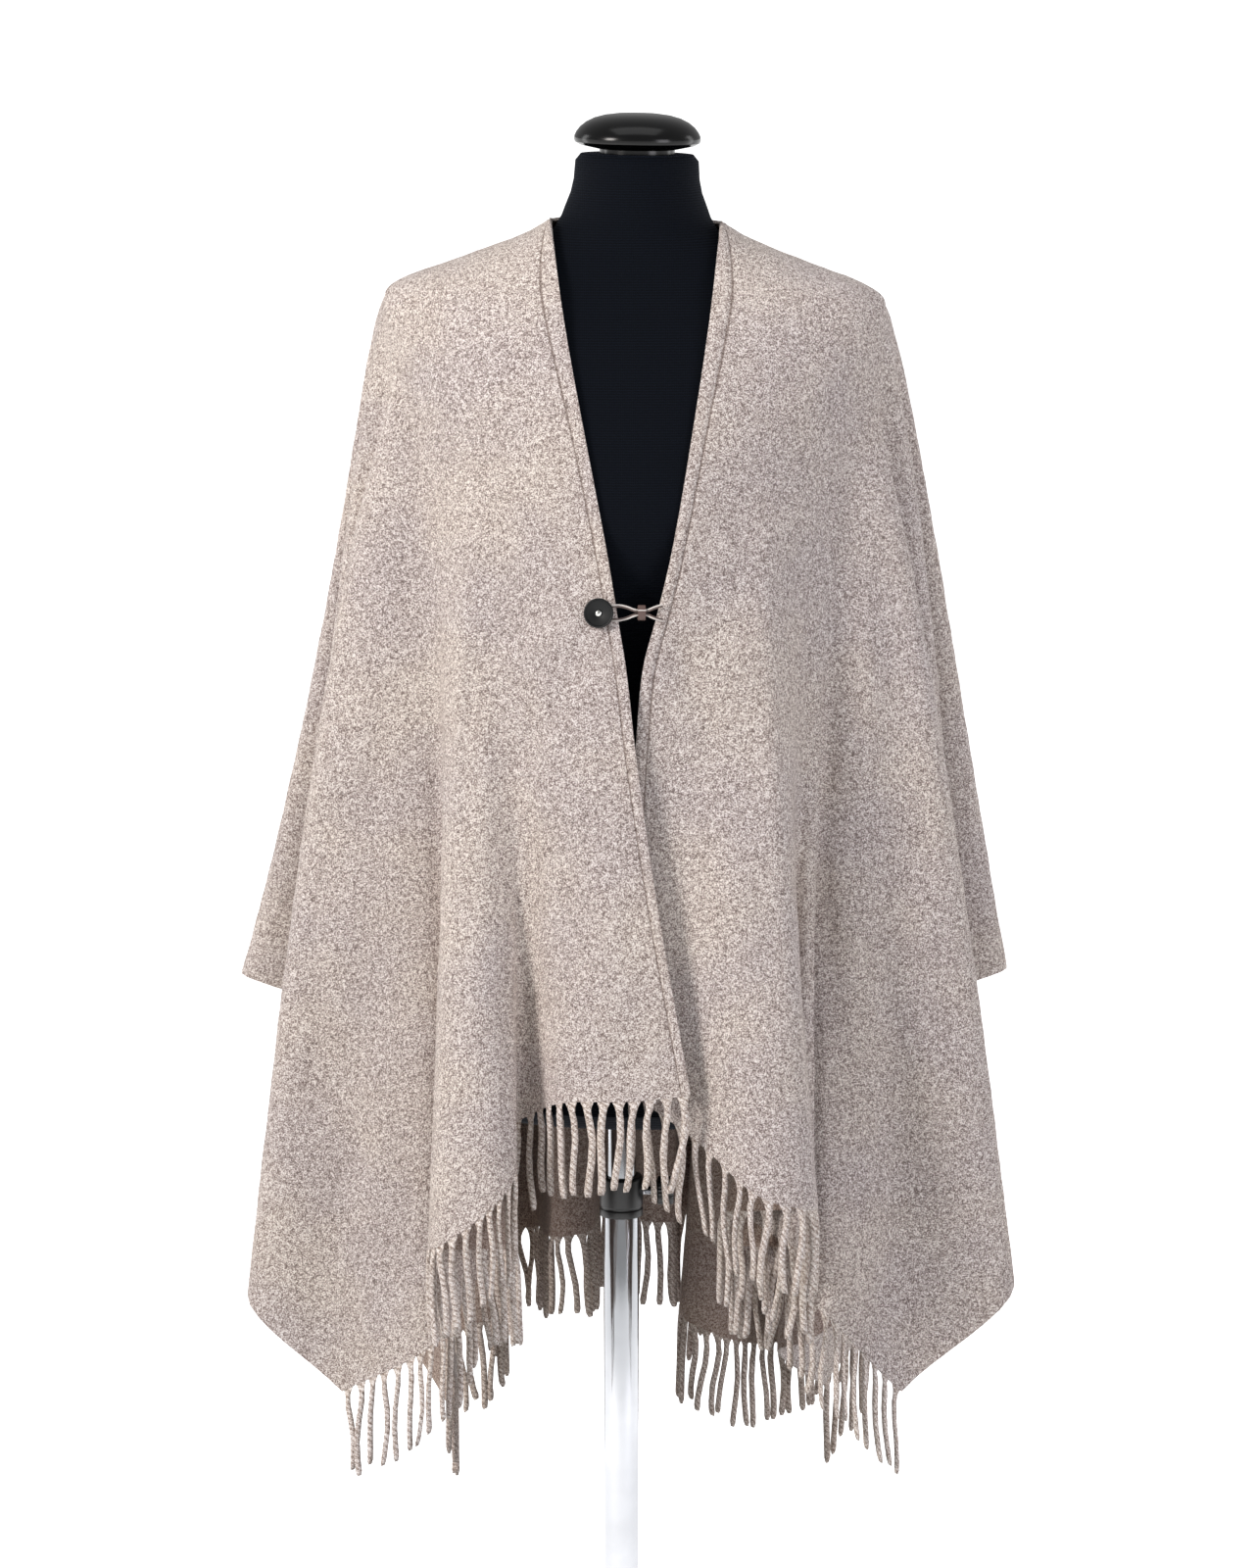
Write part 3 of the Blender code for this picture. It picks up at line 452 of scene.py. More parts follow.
def spline(xs, ys, x):
    """The value at x of a smooth curve through the points (xs, ys)."""
    i = min(max(bisect.bisect_right(xs, x) - 1, 0), len(xs) - 2)

    def slope(k):
        if 0 < k < len(xs) - 1:
            before = (ys[k] - ys[k - 1]) / (xs[k] - xs[k - 1])
            after = (ys[k + 1] - ys[k]) / (xs[k + 1] - xs[k])
            share = (xs[k] - xs[k - 1]) / (xs[k + 1] - xs[k - 1])
            return before * (1 - share) + after * share
        k = 1 if k == 0 else k
        return (ys[k] - ys[k - 1]) / (xs[k] - xs[k - 1])

    width = xs[i + 1] - xs[i]
    t = min(max((x - xs[i]) / width, 0.0), 1.0)
    rise = slope(i) * width * (t**3 - 2 * t**2 + t) + slope(i + 1) * width * (t**3 - t**2)
    return ys[i] * (2 * t**3 - 3 * t**2 + 1) + ys[i + 1] * (3 * t**2 - 2 * t**3) + rise


def form_section(z):
    z = min(max(z, FORM_ZS[0]), FORM_ZS[-1])
    return [spline(FORM_ZS, values, z) for values in FORM_VALUES]


def form_skin(angle, z):
    """A point on the upright form. Angle 0 is the front, pi / 2 the side at +X."""
    half_width, front, back = form_section(z)
    depth = front if math.cos(angle) > 0 else back
    return Vector((half_width * math.sin(angle), -depth * math.cos(angle), z))


def form_point(angle, z, clear=0.0):
    """A point clear metres off the leaning form's surface."""
    here = form_skin(angle, z)
    if clear:
        round_it = form_skin(angle + 0.01, z) - form_skin(angle - 0.01, z)
        up_it = form_skin(angle, z + MM) - form_skin(angle, z - MM)
        here += round_it.cross(up_it).normalized() * clear
    return leaned(here)


# %% Build the jersey-covered torso
TORSO_SIDES = 72
FORM_EASE = 1.6 * MM
SHOULDER_EASE = 4.6 * MM


def form_ease(z):
    """How far the form stays inside the shape the cloth is laid over, most at the shoulders."""
    under_cloth = min(max((1.345 - z) / 0.01, 0.0), 1.0)
    return under_cloth * (FORM_EASE + SHOULDER_EASE * math.exp(-(((z - 1.296) / 0.036) ** 2)))


def torso_heights():
    heights = [FORM_ZS[0]]
    for low, high in zip(FORM_ZS, FORM_ZS[1:]):
        parts = max(1, math.ceil((high - low) / 0.014))
        heights += [low + (high - low) * (k + 1) / parts for k in range(parts)]
    return heights


def jersey_torso():
    """A ring of edges is made at the foot, then drawn up through the sections and closed at both ends."""
    bm = bmesh.new()
    ring = bmesh.ops.create_circle(bm, segments=TORSO_SIDES, radius=1.0, cap_ends=False)["verts"]
    edges = bm.edges[:]
    turns = [math.atan2(v.co.x, -v.co.y) for v in ring]
    for step, z in enumerate(torso_heights()):
        if step:
            drawn = bmesh.ops.extrude_edge_only(bm, edges=edges)["geom"]
            edges = [g for g in drawn if isinstance(g, bmesh.types.BMEdge)]
            ring = [g for g in drawn if isinstance(g, bmesh.types.BMVert)]
            turns = [turn_of[tuple(round(c, 7) for c in v.co)] for v in ring]
        for v, turn in zip(ring, turns):
            v.co = form_point(turn, z, -form_ease(z))
        turn_of = {tuple(round(c, 7) for c in v.co): turn for v, turn in zip(ring, turns)}
    bmesh.ops.holes_fill(bm, edges=[e for e in bm.edges if e.is_boundary], sides=0)
    return bm


torso = finished("jersey_torso", jersey_torso(), JERSEY, "dress_form", smooth=50)

# %% [markdown]
# ## How the cloth hangs
# Every thread line of the flat rectangle starts at the neckline, runs over the form to the point where it
# leaves it, and then hangs to a place on the outer edge. The table gives those places in millimetres, one row
# for each ridge and valley, in order round the edge. Such a table is easier to correct against the photograph
# than a simulation, which would settle into folds of its own.

# %% Describe the folds
HALF_WIDTH = 0.680
FRONT_LENGTH = 0.660
BACK_LENGTH = 0.870
SLIT_BEFORE = 0.030
SEAT = 2.2 * MM
EDGE_SEAT = 1.6 * MM
NECKLINE = 1.336
TIP_HEIGHT = 1.262
NECK_SIDE = math.radians(86.5)
EDGE_BAND = 0.010

# How strongly the columns crowd towards the shoulder tips where the cloth leaves the form
CROWD_AHEAD = {-1: 3.2, 1: 4.2}
CROWD_BEHIND = 1.8
CROWD_SHARE = 0.55
BAND_AT_REST = math.radians(2.6)

BILLOW = 0.011
TUCK_GROWTH = 2.6
FOLD_ROUND = 0.008
SHARP_FOLD = math.radians(75)

FOLD_COLUMNS = ("name", "flat", "x", "y", "z", "fall")
FOLDS = {
    "front_left": [
        ("opening corner", 0.000, 52, -182, 699, 1.0),
        ("centre panel", 0.055, 2, -182, 694, 1.1),
        ("centre panel turn", 0.108, -45, -170, 690, 1.2),
        ("tuck behind centre", 0.162, -77, -138, 668, 2.0),
        ("inner flute edge", 0.212, -79, -180, 640, 1.6),
        ("front flute", 0.265, -104, -206, 612, 1.3),
        ("outer flute edge", 0.325, -142, -192, 583, 1.1),
        ("deep tuck", 0.462, -88, -98, 552, 1.7),
        ("side panel start", 0.590, -150, -134, 486, 1.2),
        ("front corner", 0.680, -216, -100, 442, 0.9),
    ],
    "left_side": [
        ("front corner", 0.000, -216, -100, 442, 0.9),
        ("front ridge", 0.120, -289, -62, 515, 0.75),
        ("front valley", 0.250, -190, -40, 562, 1.0),
        ("inner ridge", 0.385, -262, -6, 640, 1.0),
        ("arm valley", 0.520, -180, 12, 690, 1.3),
        ("side ridge", 0.680, -300, 50, 741, 1.5),
        ("upper back valley", 0.850, -184, 84, 668, 1.3),
        ("upper back ridge", 1.030, -272, 136, 572, 1.1),
        ("lower back valley", 1.200, -172, 160, 480, 1.1),
        ("lower back ridge", 1.370, -236, 262, 420, 1.0),
        ("back corner", 1.530, -146, 230, 322, 1.0),
    ],
    "back": [
        ("back corner", 0.000, -146, 230, 322, 1.0),
        ("left valley", 0.190, -118, 136, 425, 1.2),
        ("left flute", 0.395, -92, 286, 462, 1.2),
        ("left of centre", 0.555, -38, 152, 496, 1.3),
        ("centre back", 0.645, -4, 216, 506, 1.3),
        ("right of centre", 0.730, 28, 148, 508, 1.3),
        ("right flute", 0.875, 60, 280, 482, 1.2),
        ("fold edge", 1.025, 62, 152, 418, 1.3),
        ("last panel", 1.150, 138, 214, 386, 1.2),
        ("last flute", 1.260, 200, 266, 400, 1.1),
        ("back corner", 1.360, 169, 184, 356, 1.1),
    ],
    "right_side": [
        ("back corner", 0.000, 169, 184, 356, 1.1),
        ("last valley", 0.110, 138, 126, 408, 1.1),
        ("lower back ridge", 0.270, 262, 196, 462, 1.0),
        ("lower back valley", 0.430, 196, 108, 540, 1.1),
        ("upper back ridge", 0.580, 286, 106, 606, 1.0),
        ("upper back valley", 0.720, 196, 72, 676, 1.2),
        ("side ridge", 0.850, 304, 42, 747, 1.2),
        ("arm valley", 1.010, 188, 12, 696, 1.2),
        ("inner ridge", 1.150, 272, -16, 638, 0.9),
        ("front valley", 1.290, 192, -44, 566, 1.0),
        ("front ridge", 1.410, 304, -68, 524, 0.85),
        ("front corner", 1.530, 217, -100, 442, 0.9),
    ],
    "front_right": [
        ("front corner", 0.000, 217, -100, 442, 0.9),
        ("side panel start", 0.100, 155, -130, 514, 1.2),
        ("deep tuck", 0.205, 92, -94, 556, 1.7),
        ("hidden ridge", 0.300, 142, -146, 570, 1.5),
        ("hidden tuck", 0.395, 82, -108, 588, 1.7),
        ("outer flute edge", 0.505, 146, -180, 610, 1.0),
        ("front flute", 0.560, 106, -200, 624, 1.1),
        ("inner panel", 0.618, 58, -170, 660, 1.1),
        ("opening corner", 0.680, 2, -158, 698, 1.0),
    ],
}

# The two front edges, seen from the front: height, then x of the left and of the right edge in mm
OPENING_COLUMNS = ("z", "left_x", "right_x")
OPENING = [
    (1.340, -54, 76),
    (1.280, -45, 68),
    (1.180, -26, 52),
    (1.110, -12, 40),
    (1.050, -2, 26),
    (1.020, 3, 18),
    (0.960, 10, 12),
    (0.860, 24, 8),
    (0.700, 52, 4),
]
# %% Hang one column of the cloth
def height_along_shoulder(share, lowest):
    """Height at a share of the way from the neckline to lowest, measured along the side of the form."""
    steps = 60
    heights = [NECKLINE - (NECKLINE - lowest) * k / steps for k in range(steps + 1)]
    widths = [form_section(z)[0] for z in heights]
    run = [0.0]
    for k in range(steps):
        run.append(run[-1] + math.hypot(widths[k + 1] - widths[k], heights[k + 1] - heights[k]))
    at = share * run[-1]
    k = min(bisect.bisect_right(run, at) - 1, steps - 1)
    part = (at - run[k]) / (run[k + 1] - run[k])
    return heights[k] + (heights[k + 1] - heights[k]) * part


def is_tuck(name):
    return "tuck" in name or "hidden" in name


def edge_rows():
    """FOLDS as one list: (distance round, flat x, flat y, x, y, z, fall, is a corner, is a tuck)."""
    sides = {
        "front_left": lambda d: (-d, -FRONT_LENGTH),
        "left_side": lambda d: (-HALF_WIDTH, d - FRONT_LENGTH),
        "back": lambda d: (d - HALF_WIDTH, BACK_LENGTH),
        "right_side": lambda d: (HALF_WIDTH, BACK_LENGTH - d),
        "front_right": lambda d: (HALF_WIDTH - d, -FRONT_LENGTH),
    }
    rows, start = [], 0.0
    for side, folds in FOLDS.items():
        for name, flat, x, y, z, fall in folds:
            if rows and flat == 0.0:
                continue
            corner = name.endswith("corner")
            place = (x * MM, y * MM, z * MM)
            rows.append((start + flat, *sides[side](flat), *place, fall, corner, is_tuck(name)))
        start += folds[-1][1]
    return rounded(rows)


def rounded(rows):
    """The rows with each sharp fold split in two, so the fold turns round a small width of cloth."""
    made = [rows[0]]
    for before, row, after in zip(rows, rows[1:], rows[2:]):
        arrive = Vector((row[3] - before[3], row[4] - before[4]))
        leave = Vector((after[3] - row[3], after[4] - row[4]))
        if row[7] or arrive.angle(leave) < SHARP_FOLD:
            made.append(row)
            continue
        across = (arrive.normalized() + leave.normalized()).normalized() * FOLD_ROUND
        rise = (after[5] - before[5]) / (after[0] - before[0]) * FOLD_ROUND
        for way in (-1, 1):
            u = row[0] + way * FOLD_ROUND * 1.3
            moved = (row[3] + way * across.x, row[4] + way * across.y, row[5] + way * rise)
            made.append((u, row[1], row[2], *moved, *row[6:]))
    return made + [rows[-1]]


ROWS = edge_rows()
CORNERS = [i for i, row in enumerate(ROWS) if row[7]]


def edge_at(u):
    """Flat x and y, where it hangs, where it would hang without tucks, and its fall, at distance u."""
    i = min(bisect.bisect_right([row[0] for row in ROWS], u) - 1, len(ROWS) - 2)
    first = max(c for c in CORNERS if c <= i)
    last = min(c for c in CORNERS if c > i)
    places = []
    for rows in (ROWS, [row for row in ROWS if not row[8]]):
        us = [row[0] for row in rows]
        x, y, fall = (spline(us, [row[k] for row in rows], u) for k in (3, 4, 6))
        side = [row for row in rows if ROWS[first][0] <= row[0] <= ROWS[last][0]]
        z = spline([row[0] for row in side], [row[5] for row in side], u)
        places.append(Vector((x, y, z)))
    share = (u - ROWS[first][0]) / (ROWS[last][0] - ROWS[first][0])
    flat_x = ROWS[first][1] + share * (ROWS[last][1] - ROWS[first][1])
    flat_y = ROWS[first][2] + share * (ROWS[last][2] - ROWS[first][2])
    return flat_x, flat_y, places[0], places[1], fall


def opening_x(side, z):
    """x of the front edge on that side (-1 left, 1 right) at height z."""
    rows = sorted(OPENING)
    zs = [row[0] for row in rows]
    return spline(zs, [row[1 if side < 0 else 2] * MM for row in rows], min(max(z, zs[0]), zs[-1]))


def column(u):
    """One column of the wall's middle surface, from the neckline to the outer edge."""
    flat_x, flat_y, hang, smooth, fall = edge_at(u)
    side = -1 if u < ROWS[-1][0] / 2 else 1
    turn = math.atan2(abs(flat_x), -(flat_y + SLIT_BEFORE))
    ahead = max(0.0, math.cos(turn))
    behind = max(0.0, -math.cos(turn))
    beside = min(1.0, u / EDGE_BAND, (ROWS[-1][0] - u) / EDGE_BAND)
    band = beside * EDGE_BAND / form_section(NECKLINE)[0]
    at_neck = NECK_SIDE + band + (math.pi - NECK_SIDE - band) * (turn / math.pi) ** 1.1
    from_side = abs(1 - turn / (math.pi / 2))
    crowd = CROWD_BEHIND if behind else CROWD_AHEAD[side]
    crowded = 1 - from_side**crowd
    at_rest = math.pi / 2 * (CROWD_SHARE * crowded + (1 - CROWD_SHARE) * (1 - from_side))
    at_rest += beside * BAND_AT_REST * (1 - at_rest / (math.pi / 2))
    if behind:
        at_rest = math.pi - at_rest
    drop = 0.142 * ahead**2 + 0.085 * behind**2
    near_edge = max(0.0, 1 - turn / math.radians(24)) ** 1.5
    points = []
    for k in range(YOKE_ROWS + 1):
        t = k / YOKE_ROWS
        z = height_along_shoulder(t ** (1 + 0.3 * ahead), TIP_HEIGHT - drop)
        seat = SEAT + EDGE_SEAT * near_edge * math.exp(-(((z - 1.328) / 0.012) ** 2))
        reach = math.sin(t * math.pi / 2)
        angle = at_neck + (at_rest - at_neck) * reach
        if near_edge:
            half_width = form_section(z)[0] + SEAT
            edge_x = opening_x(side, z) - LEAN * (z - TORSO_BOTTOM)
            edge_angle = math.asin(min(max(side * edge_x / half_width, -1), 1))
            angle += (edge_angle - NECK_SIDE * (1 - reach)) * near_edge
        points.append(form_point(side * angle, z, seat))
    rest = points[-1]
    edge_top = opening_x(side, rest.z)
    edge_foot = opening_x(side, 0.0)
    for k in range(1, HANG_ROWS + 1):
        t = k / HANG_ROWS
        out = t**fall
        billow = BILLOW * math.sin(math.pi * t**0.6) * math.sin(turn) ** 2
        tuck = (hang - smooth) * t**TUCK_GROWTH
        z = rest.z + (smooth.z - rest.z) * t + tuck.z
        bow = opening_x(side, z) - edge_top - (edge_foot - edge_top) * out
        points.append(Vector((
            rest.x + (smooth.x - rest.x) * out + tuck.x + side * billow + bow * near_edge,
            rest.y + (smooth.y - rest.y) * out + tuck.y,
            z,
        )))
    return points

# %% [markdown]
# ## The draped sheet
# A flat grid is made first, as the cloth is cut first. Each of its points is then put where the table hangs
# it, and keeps its flat place in the UV map. Columns stand close at the two front edges, where 10 mm of cloth
# is turned under and stitched. A second table adds the soft creases of cloth that has been folded and worn:
# low ridges and troughs, uneven in length, width and depth, given by where they run on the front and back.

# %% Place the columns and rows of the sheet
YOKE_ROWS = 24
HANG_ROWS = 60
COLUMN_SPACE = 0.0150
BAND_COLUMNS = [0.0, 0.0012, 0.0038, 0.0056, 0.0066, 0.0076, 0.0086, 0.0102, 0.0150]


def sheet_columns():
    """Distances round the outer edge: even steps between the table's rows, close together at both ends."""
    last = ROWS[-1][0]
    stops = set()
    for row, after in zip(ROWS, ROWS[1:]):
        parts = max(2, math.ceil((after[0] - row[0]) / COLUMN_SPACE))
        stops.update(row[0] + (after[0] - row[0]) * k / parts for k in range(parts))
    inner = {u for u in stops if BAND_COLUMNS[-1] + 0.005 < u < last - BAND_COLUMNS[-1] - 0.005}
    return sorted(inner | set(BAND_COLUMNS) | {last - u for u in BAND_COLUMNS})


def soften_rest(points):
    """Rounds the turn where the columns leave the form, most at the turn itself."""
    turn = YOKE_ROWS
    for _ in range(14):
        moved = points[:, 1:-1] * 0.5 + (points[:, :-2] + points[:, 2:]) * 0.25
        rows = np.arange(1, points.shape[1] - 1)
        share = np.clip(1 - np.abs(rows - turn) / 6, 0, 1)[None, :, None]
        points[:, 1:-1] += (moved - points[:, 1:-1]) * share
    return points


def face_ways(points):
    """The sheet's outward direction at every point."""
    along = np.gradient(points, axis=0)
    down = np.gradient(points, axis=1)
    ways = np.cross(down, along)
    ways /= np.maximum(np.linalg.norm(ways, axis=2, keepdims=True), 1e-9)
    front = ways[len(ways) // 12, YOKE_ROWS]
    return -ways if front[1] > 0 else ways


PLACES = sheet_columns()
POINTS = soften_rest(np.array([[tuple(p) for p in column(u)] for u in PLACES]))
WAYS = face_ways(POINTS)
print("columns:", len(PLACES), "rows:", POINTS.shape[1])

# %% Press the creases in
CREASE_COLUMNS = ("side", "x from", "z from", "x to", "z to", "width mm", "rise mm")
CREASES = [
    ("front", -0.030, 1.050, -0.110, 1.000, 9, 2.7),
    ("front", -0.022, 1.035, -0.085, 0.930, 8, -2.7),
    ("front", -0.060, 1.080, -0.150, 1.120, 14, 2.4),
    ("front", 0.040, 1.050, 0.105, 1.015, 9, 2.5),
    ("front", 0.036, 1.038, 0.085, 0.930, 8, -3.1),
    ("front", 0.060, 1.085, 0.150, 1.130, 13, 2.4),
    ("front", -0.040, 0.900, -0.060, 0.740, 15, -3.7),
    ("front", -0.015, 0.860, -0.005, 0.730, 12, 3.1),
    ("front", 0.095, 1.000, 0.110, 0.760, 17, -4.1),
    ("front", 0.070, 0.860, 0.075, 0.690, 12, 2.9),
    ("front", -0.105, 1.040, -0.125, 0.800, 18, -4.1),
    ("front", -0.175, 1.160, -0.205, 0.900, 16, 3.7),
    ("front", -0.225, 0.900, -0.245, 0.640, 18, -4.4),
    ("front", -0.180, 0.720, -0.200, 0.520, 15, 3.9),
    ("front", -0.160, 1.240, -0.110, 1.180, 12, 1.2),
    ("front", 0.170, 1.180, 0.200, 0.920, 17, 3.9),
    ("front", 0.150, 0.850, 0.180, 0.600, 15, -3.9),
    ("front", 0.230, 0.840, 0.245, 0.620, 18, 4.1),
    ("front", 0.205, 0.640, 0.225, 0.500, 13, -3.4),
    ("front", 0.175, 1.245, 0.125, 1.190, 12, 1.2),
    ("back", -0.150, 1.150, -0.175, 0.800, 18, 3.7),
    ("back", -0.090, 1.120, -0.100, 0.760, 16, -4.1),
    ("back", -0.050, 0.900, -0.045, 0.600, 14, 3.4),
    ("back", 0.010, 1.120, 0.000, 0.700, 18, -3.4),
    ("back", 0.055, 0.880, 0.060, 0.560, 14, 3.1),
    ("back", 0.110, 1.140, 0.120, 0.820, 17, 3.7),
    ("back", 0.165, 1.100, 0.190, 0.700, 16, -4.1),
    ("back", -0.120, 0.700, -0.140, 0.480, 12, -3.1),
    ("back", 0.140, 0.620, 0.165, 0.440, 12, 3.1),
    ("back", -0.070, 1.250, 0.080, 1.245, 14, 1.2),
    ("front", -0.118, 1.075, -0.148, 0.690, 20, -4.2),
    ("front", 0.142, 1.080, 0.160, 0.630, 17, -4.6),
    ("front", 0.176, 1.060, 0.196, 0.700, 18, 3.0),
]
MELANGE_PUCKER = 0.35 * MM


def crease_rise(points, ways):
    """How far each point moves out of or into the sheet, from the crease table and a faint pucker."""
    x, z = points[..., 0], points[..., 2]
    rise = MELANGE_PUCKER * np.sin(x * 190 + 3 * np.sin(z * 47)) * np.sin(z * 131 + 2 * np.sin(x * 61))
    for side, x0, z0, x1, z1, width, height in CREASES:
        facing = np.clip(-ways[..., 1] if side == "front" else ways[..., 1], 0, 1)
        length = math.hypot(x1 - x0, z1 - z0)
        along = ((x - x0) * (x1 - x0) + (z - z0) * (z1 - z0)) / length
        wander = 0.35 * width * MM * np.sin(along / length * 5.1 + x0 * 40)
        across = ((x - x0) * (z1 - z0) - (z - z0) * (x1 - x0)) / length + wander
        ends = np.clip(np.minimum(along, length - along) / (0.3 * length) + 0.35, 0, 1)
        rise += height * MM * facing * ends * ends * (3 - 2 * ends) * np.exp(-((across / (width * MM)) ** 2))
    return rise


rises = crease_rise(POINTS, WAYS)
on_form = np.arange(POINTS.shape[1]) < YOKE_ROWS
rises[:, on_form] = np.clip(rises[:, on_form], -0.3 * MM, None)
edge_calm = np.clip(np.minimum(PLACES, PLACES[-1] - np.array(PLACES)) / 0.03, 0, 1)[:, None]
POINTS += WAYS * (rises * edge_calm)[..., None]
WAYS = face_ways(POINTS)
print("creases:", len(CREASES), "from", round(rises.min() / MM, 2), "to", round(rises.max() / MM, 2), "mm")

# %% Drape the flat sheet
WALL = 2.4 * MM
BAND_WALL = 3.4 * MM
SEAM_COLUMN = 5
BAND_THICKNESS = [0.66, 1.0, 1.0, 0.96, 0.72, 0.30, 0.62]


SLIT_FROM = -0.045
SLIT_TO = 0.075


def flat_places():
    """Each point's place on the flat cloth, in metres: x across from the slit, y from the shoulder line."""
    steps = np.linalg.norm(np.diff(POINTS, axis=1), axis=2)
    share = np.concatenate([np.zeros((len(PLACES), 1)), np.cumsum(steps, axis=1)], axis=1)
    share /= share[:, -1:]
    flat = np.zeros((*share.shape, 2))
    neck = np.concatenate([[0.0], np.cumsum(np.linalg.norm(np.diff(POINTS[:, 0], axis=0), axis=1))])
    back = np.interp(PLACES[-1] / 2, PLACES, neck)
    for i, u in enumerate(PLACES):
        x, y = edge_at(u)[:2]
        round_neck = 1 - abs(neck[i] - back) / back
        start = np.array((0.0, SLIT_FROM + (SLIT_TO - SLIT_FROM) * round_neck))
        flat[i] = start + share[i][:, None] * (np.array((x, y)) - start)
    return flat


def wall_share(i):
    """The wall's thickness at column i, as a share of the stitched band's."""
    near = min(i, len(PLACES) - 1 - i)
    return BAND_THICKNESS[near] if near < len(BAND_THICKNESS) else WALL / BAND_WALL


def draped_sheet():
    count, rows = POINTS.shape[:2]
    flat = flat_places()
    bm = bmesh.new()
    bmesh.ops.create_grid(bm, x_segments=count - 1, y_segments=rows - 1, size=1.0)
    uv = bm.loops.layers.uv.new("flat")
    group = bm.verts.layers.deform.new()
    seam = bm.verts.layers.float.new("seam")
    place = {}
    for vert in bm.verts:
        i = round((vert.co.x + 1) / 2 * (count - 1))
        k = round((vert.co.y + 1) / 2 * (rows - 1))
        place[vert] = (i, k)
        vert[group][0] = max(wall_share(i), 1.0 if 0 < k < 3 and 8 < i < count - 9 else 0.0)
        vert[seam] = 1.0 if min(i, count - 1 - i) == SEAM_COLUMN else 0.0
    for vert, (i, k) in place.items():
        vert.co = POINTS[i, k]
    for face in bm.faces:
        for loop in face.loops:
            loop[uv].uv = flat[place[loop.vert]]
    bm.normal_update()
    middle = next(f for f in bm.faces if place[f.verts[0]] == (count // 12, YOKE_ROWS))
    if middle.normal.y > 0:
        bmesh.ops.reverse_faces(bm, faces=bm.faces)
    return bm


def with_thickness(bm):
    """Solidify gives the sheet its wall, with the inner face in the second material, a darker, browner copy of the
    wool as painted shade.
    """
    mesh = bpy.data.meshes.new("poncho_cloth")
    bm.to_mesh(mesh)
    bm.free()
    mesh.shade_smooth()
    mesh.materials.append(WOOL)
    mesh.materials.append(WOOL_INSIDE_SHADE)
    sheet = bpy.data.objects.new("poncho_cloth", mesh)
    bpy.context.scene.collection.objects.link(sheet)
    sheet.vertex_groups.new(name="wall")
    wall = sheet.modifiers.new("wall", "SOLIDIFY")
    wall.thickness = BAND_WALL
    wall.offset = 0.0
    wall.vertex_group = "wall"
    wall.material_offset = 1
    ready = sheet.evaluated_get(bpy.context.evaluated_depsgraph_get())
    sheet.data = bpy.data.meshes.new_from_object(ready)
    sheet.modifiers.clear()
    sheet.data.set_sharp_from_angle(angle=math.radians(60))
    return sheet


cloth = with_thickness(draped_sheet())
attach(cloth, "root")
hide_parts("cape_cloth")
print("cloth triangles:", sum(len(p.vertices) - 2 for p in cloth.data.polygons))

# %% [markdown]
# ## Places on the draped cloth
# The fringe, the stitching and the clasp all sit on the cloth, so each asks it for a place: a point of the
# hem, a point some way down a column, or the nearest point of the finished skin. Nothing is then placed by
# eye in the air.

# %% Find places on the cloth
SKIN = BVHTree.FromPolygons(
    [v.co for v in cloth.data.vertices], [list(p.vertices) for p in cloth.data.polygons]
)


def between(values, u):
    """A row of values, one for each column, read at distance u round the hem."""
    i = min(max(bisect.bisect_right(PLACES, u) - 1, 0), len(PLACES) - 2)
    share = (u - PLACES[i]) / (PLACES[i + 1] - PLACES[i])
    return Vector(values[i]).lerp(Vector(values[i + 1]), share)


def down_column(u, distance):
    """The point that lies a distance down from the neckline along the cloth at u, and the way out of it."""
    i = min(max(bisect.bisect_right(PLACES, u) - 1, 0), len(PLACES) - 2)
    share = (u - PLACES[i]) / (PLACES[i + 1] - PLACES[i])
    line = POINTS[i] * (1 - share) + POINTS[i + 1] * share
    way = WAYS[i] * (1 - share) + WAYS[i + 1] * share
    run = np.concatenate([[0.0], np.cumsum(np.linalg.norm(np.diff(line, axis=0), axis=1))])
    distance = min(distance, run[-1])
    point = Vector([np.interp(distance, run, line[:, k]) for k in range(3)])
    return point, Vector([np.interp(distance, run, way[:, k]) for k in range(3)]).normalized(), run[-1]


def on_skin(point, way, lift):
    """A point lifted off the outer skin, found by looking at the cloth from outside."""
    hit = SKIN.ray_cast(point + way * 5 * MM, -way, 8 * MM)[0]
    return (hit if hit else point + way * WALL / 2) + way * lift


# %% [markdown]
# ## The fringe
# On a woven cloth the fringe is the warp itself: a group of warp threads is left below the hem, parted in two
# plies and twisted. Each strand here is one small tube, rolled up from a grid. It leaves the cloth as wide
# as its group of threads, so the gaps between strands end in small arches, turns round a few millimetres
# lower, and hangs straight down with a little lean and curl. One that another fold blocks is left out.

# %% Hang the strands
STRAND_PITCH = 13.2 * MM
STRAND_LENGTH = 74 * MM
STRAND_SIDES = 6
STRAND_SPACE = 5.8 * MM
STRAND_CLEAR = 3.6 * MM
ROOT_TURN = 9 * MM
STRAND_COLUMNS = ("share of the length", "half width mm", "half depth mm")
STRAND_SHAPE = [
    (0.000, 5.4, 0.8), (0.030, 4.6, 1.0), (0.070, 3.3, 1.7), (0.125, 2.6, 2.3), (0.220, 2.8, 2.6),
    (0.420, 2.7, 2.7), (0.640, 2.8, 2.6), (0.850, 2.7, 2.7), (0.950, 3.0, 2.6), (1.000, 2.1, 1.5),
]


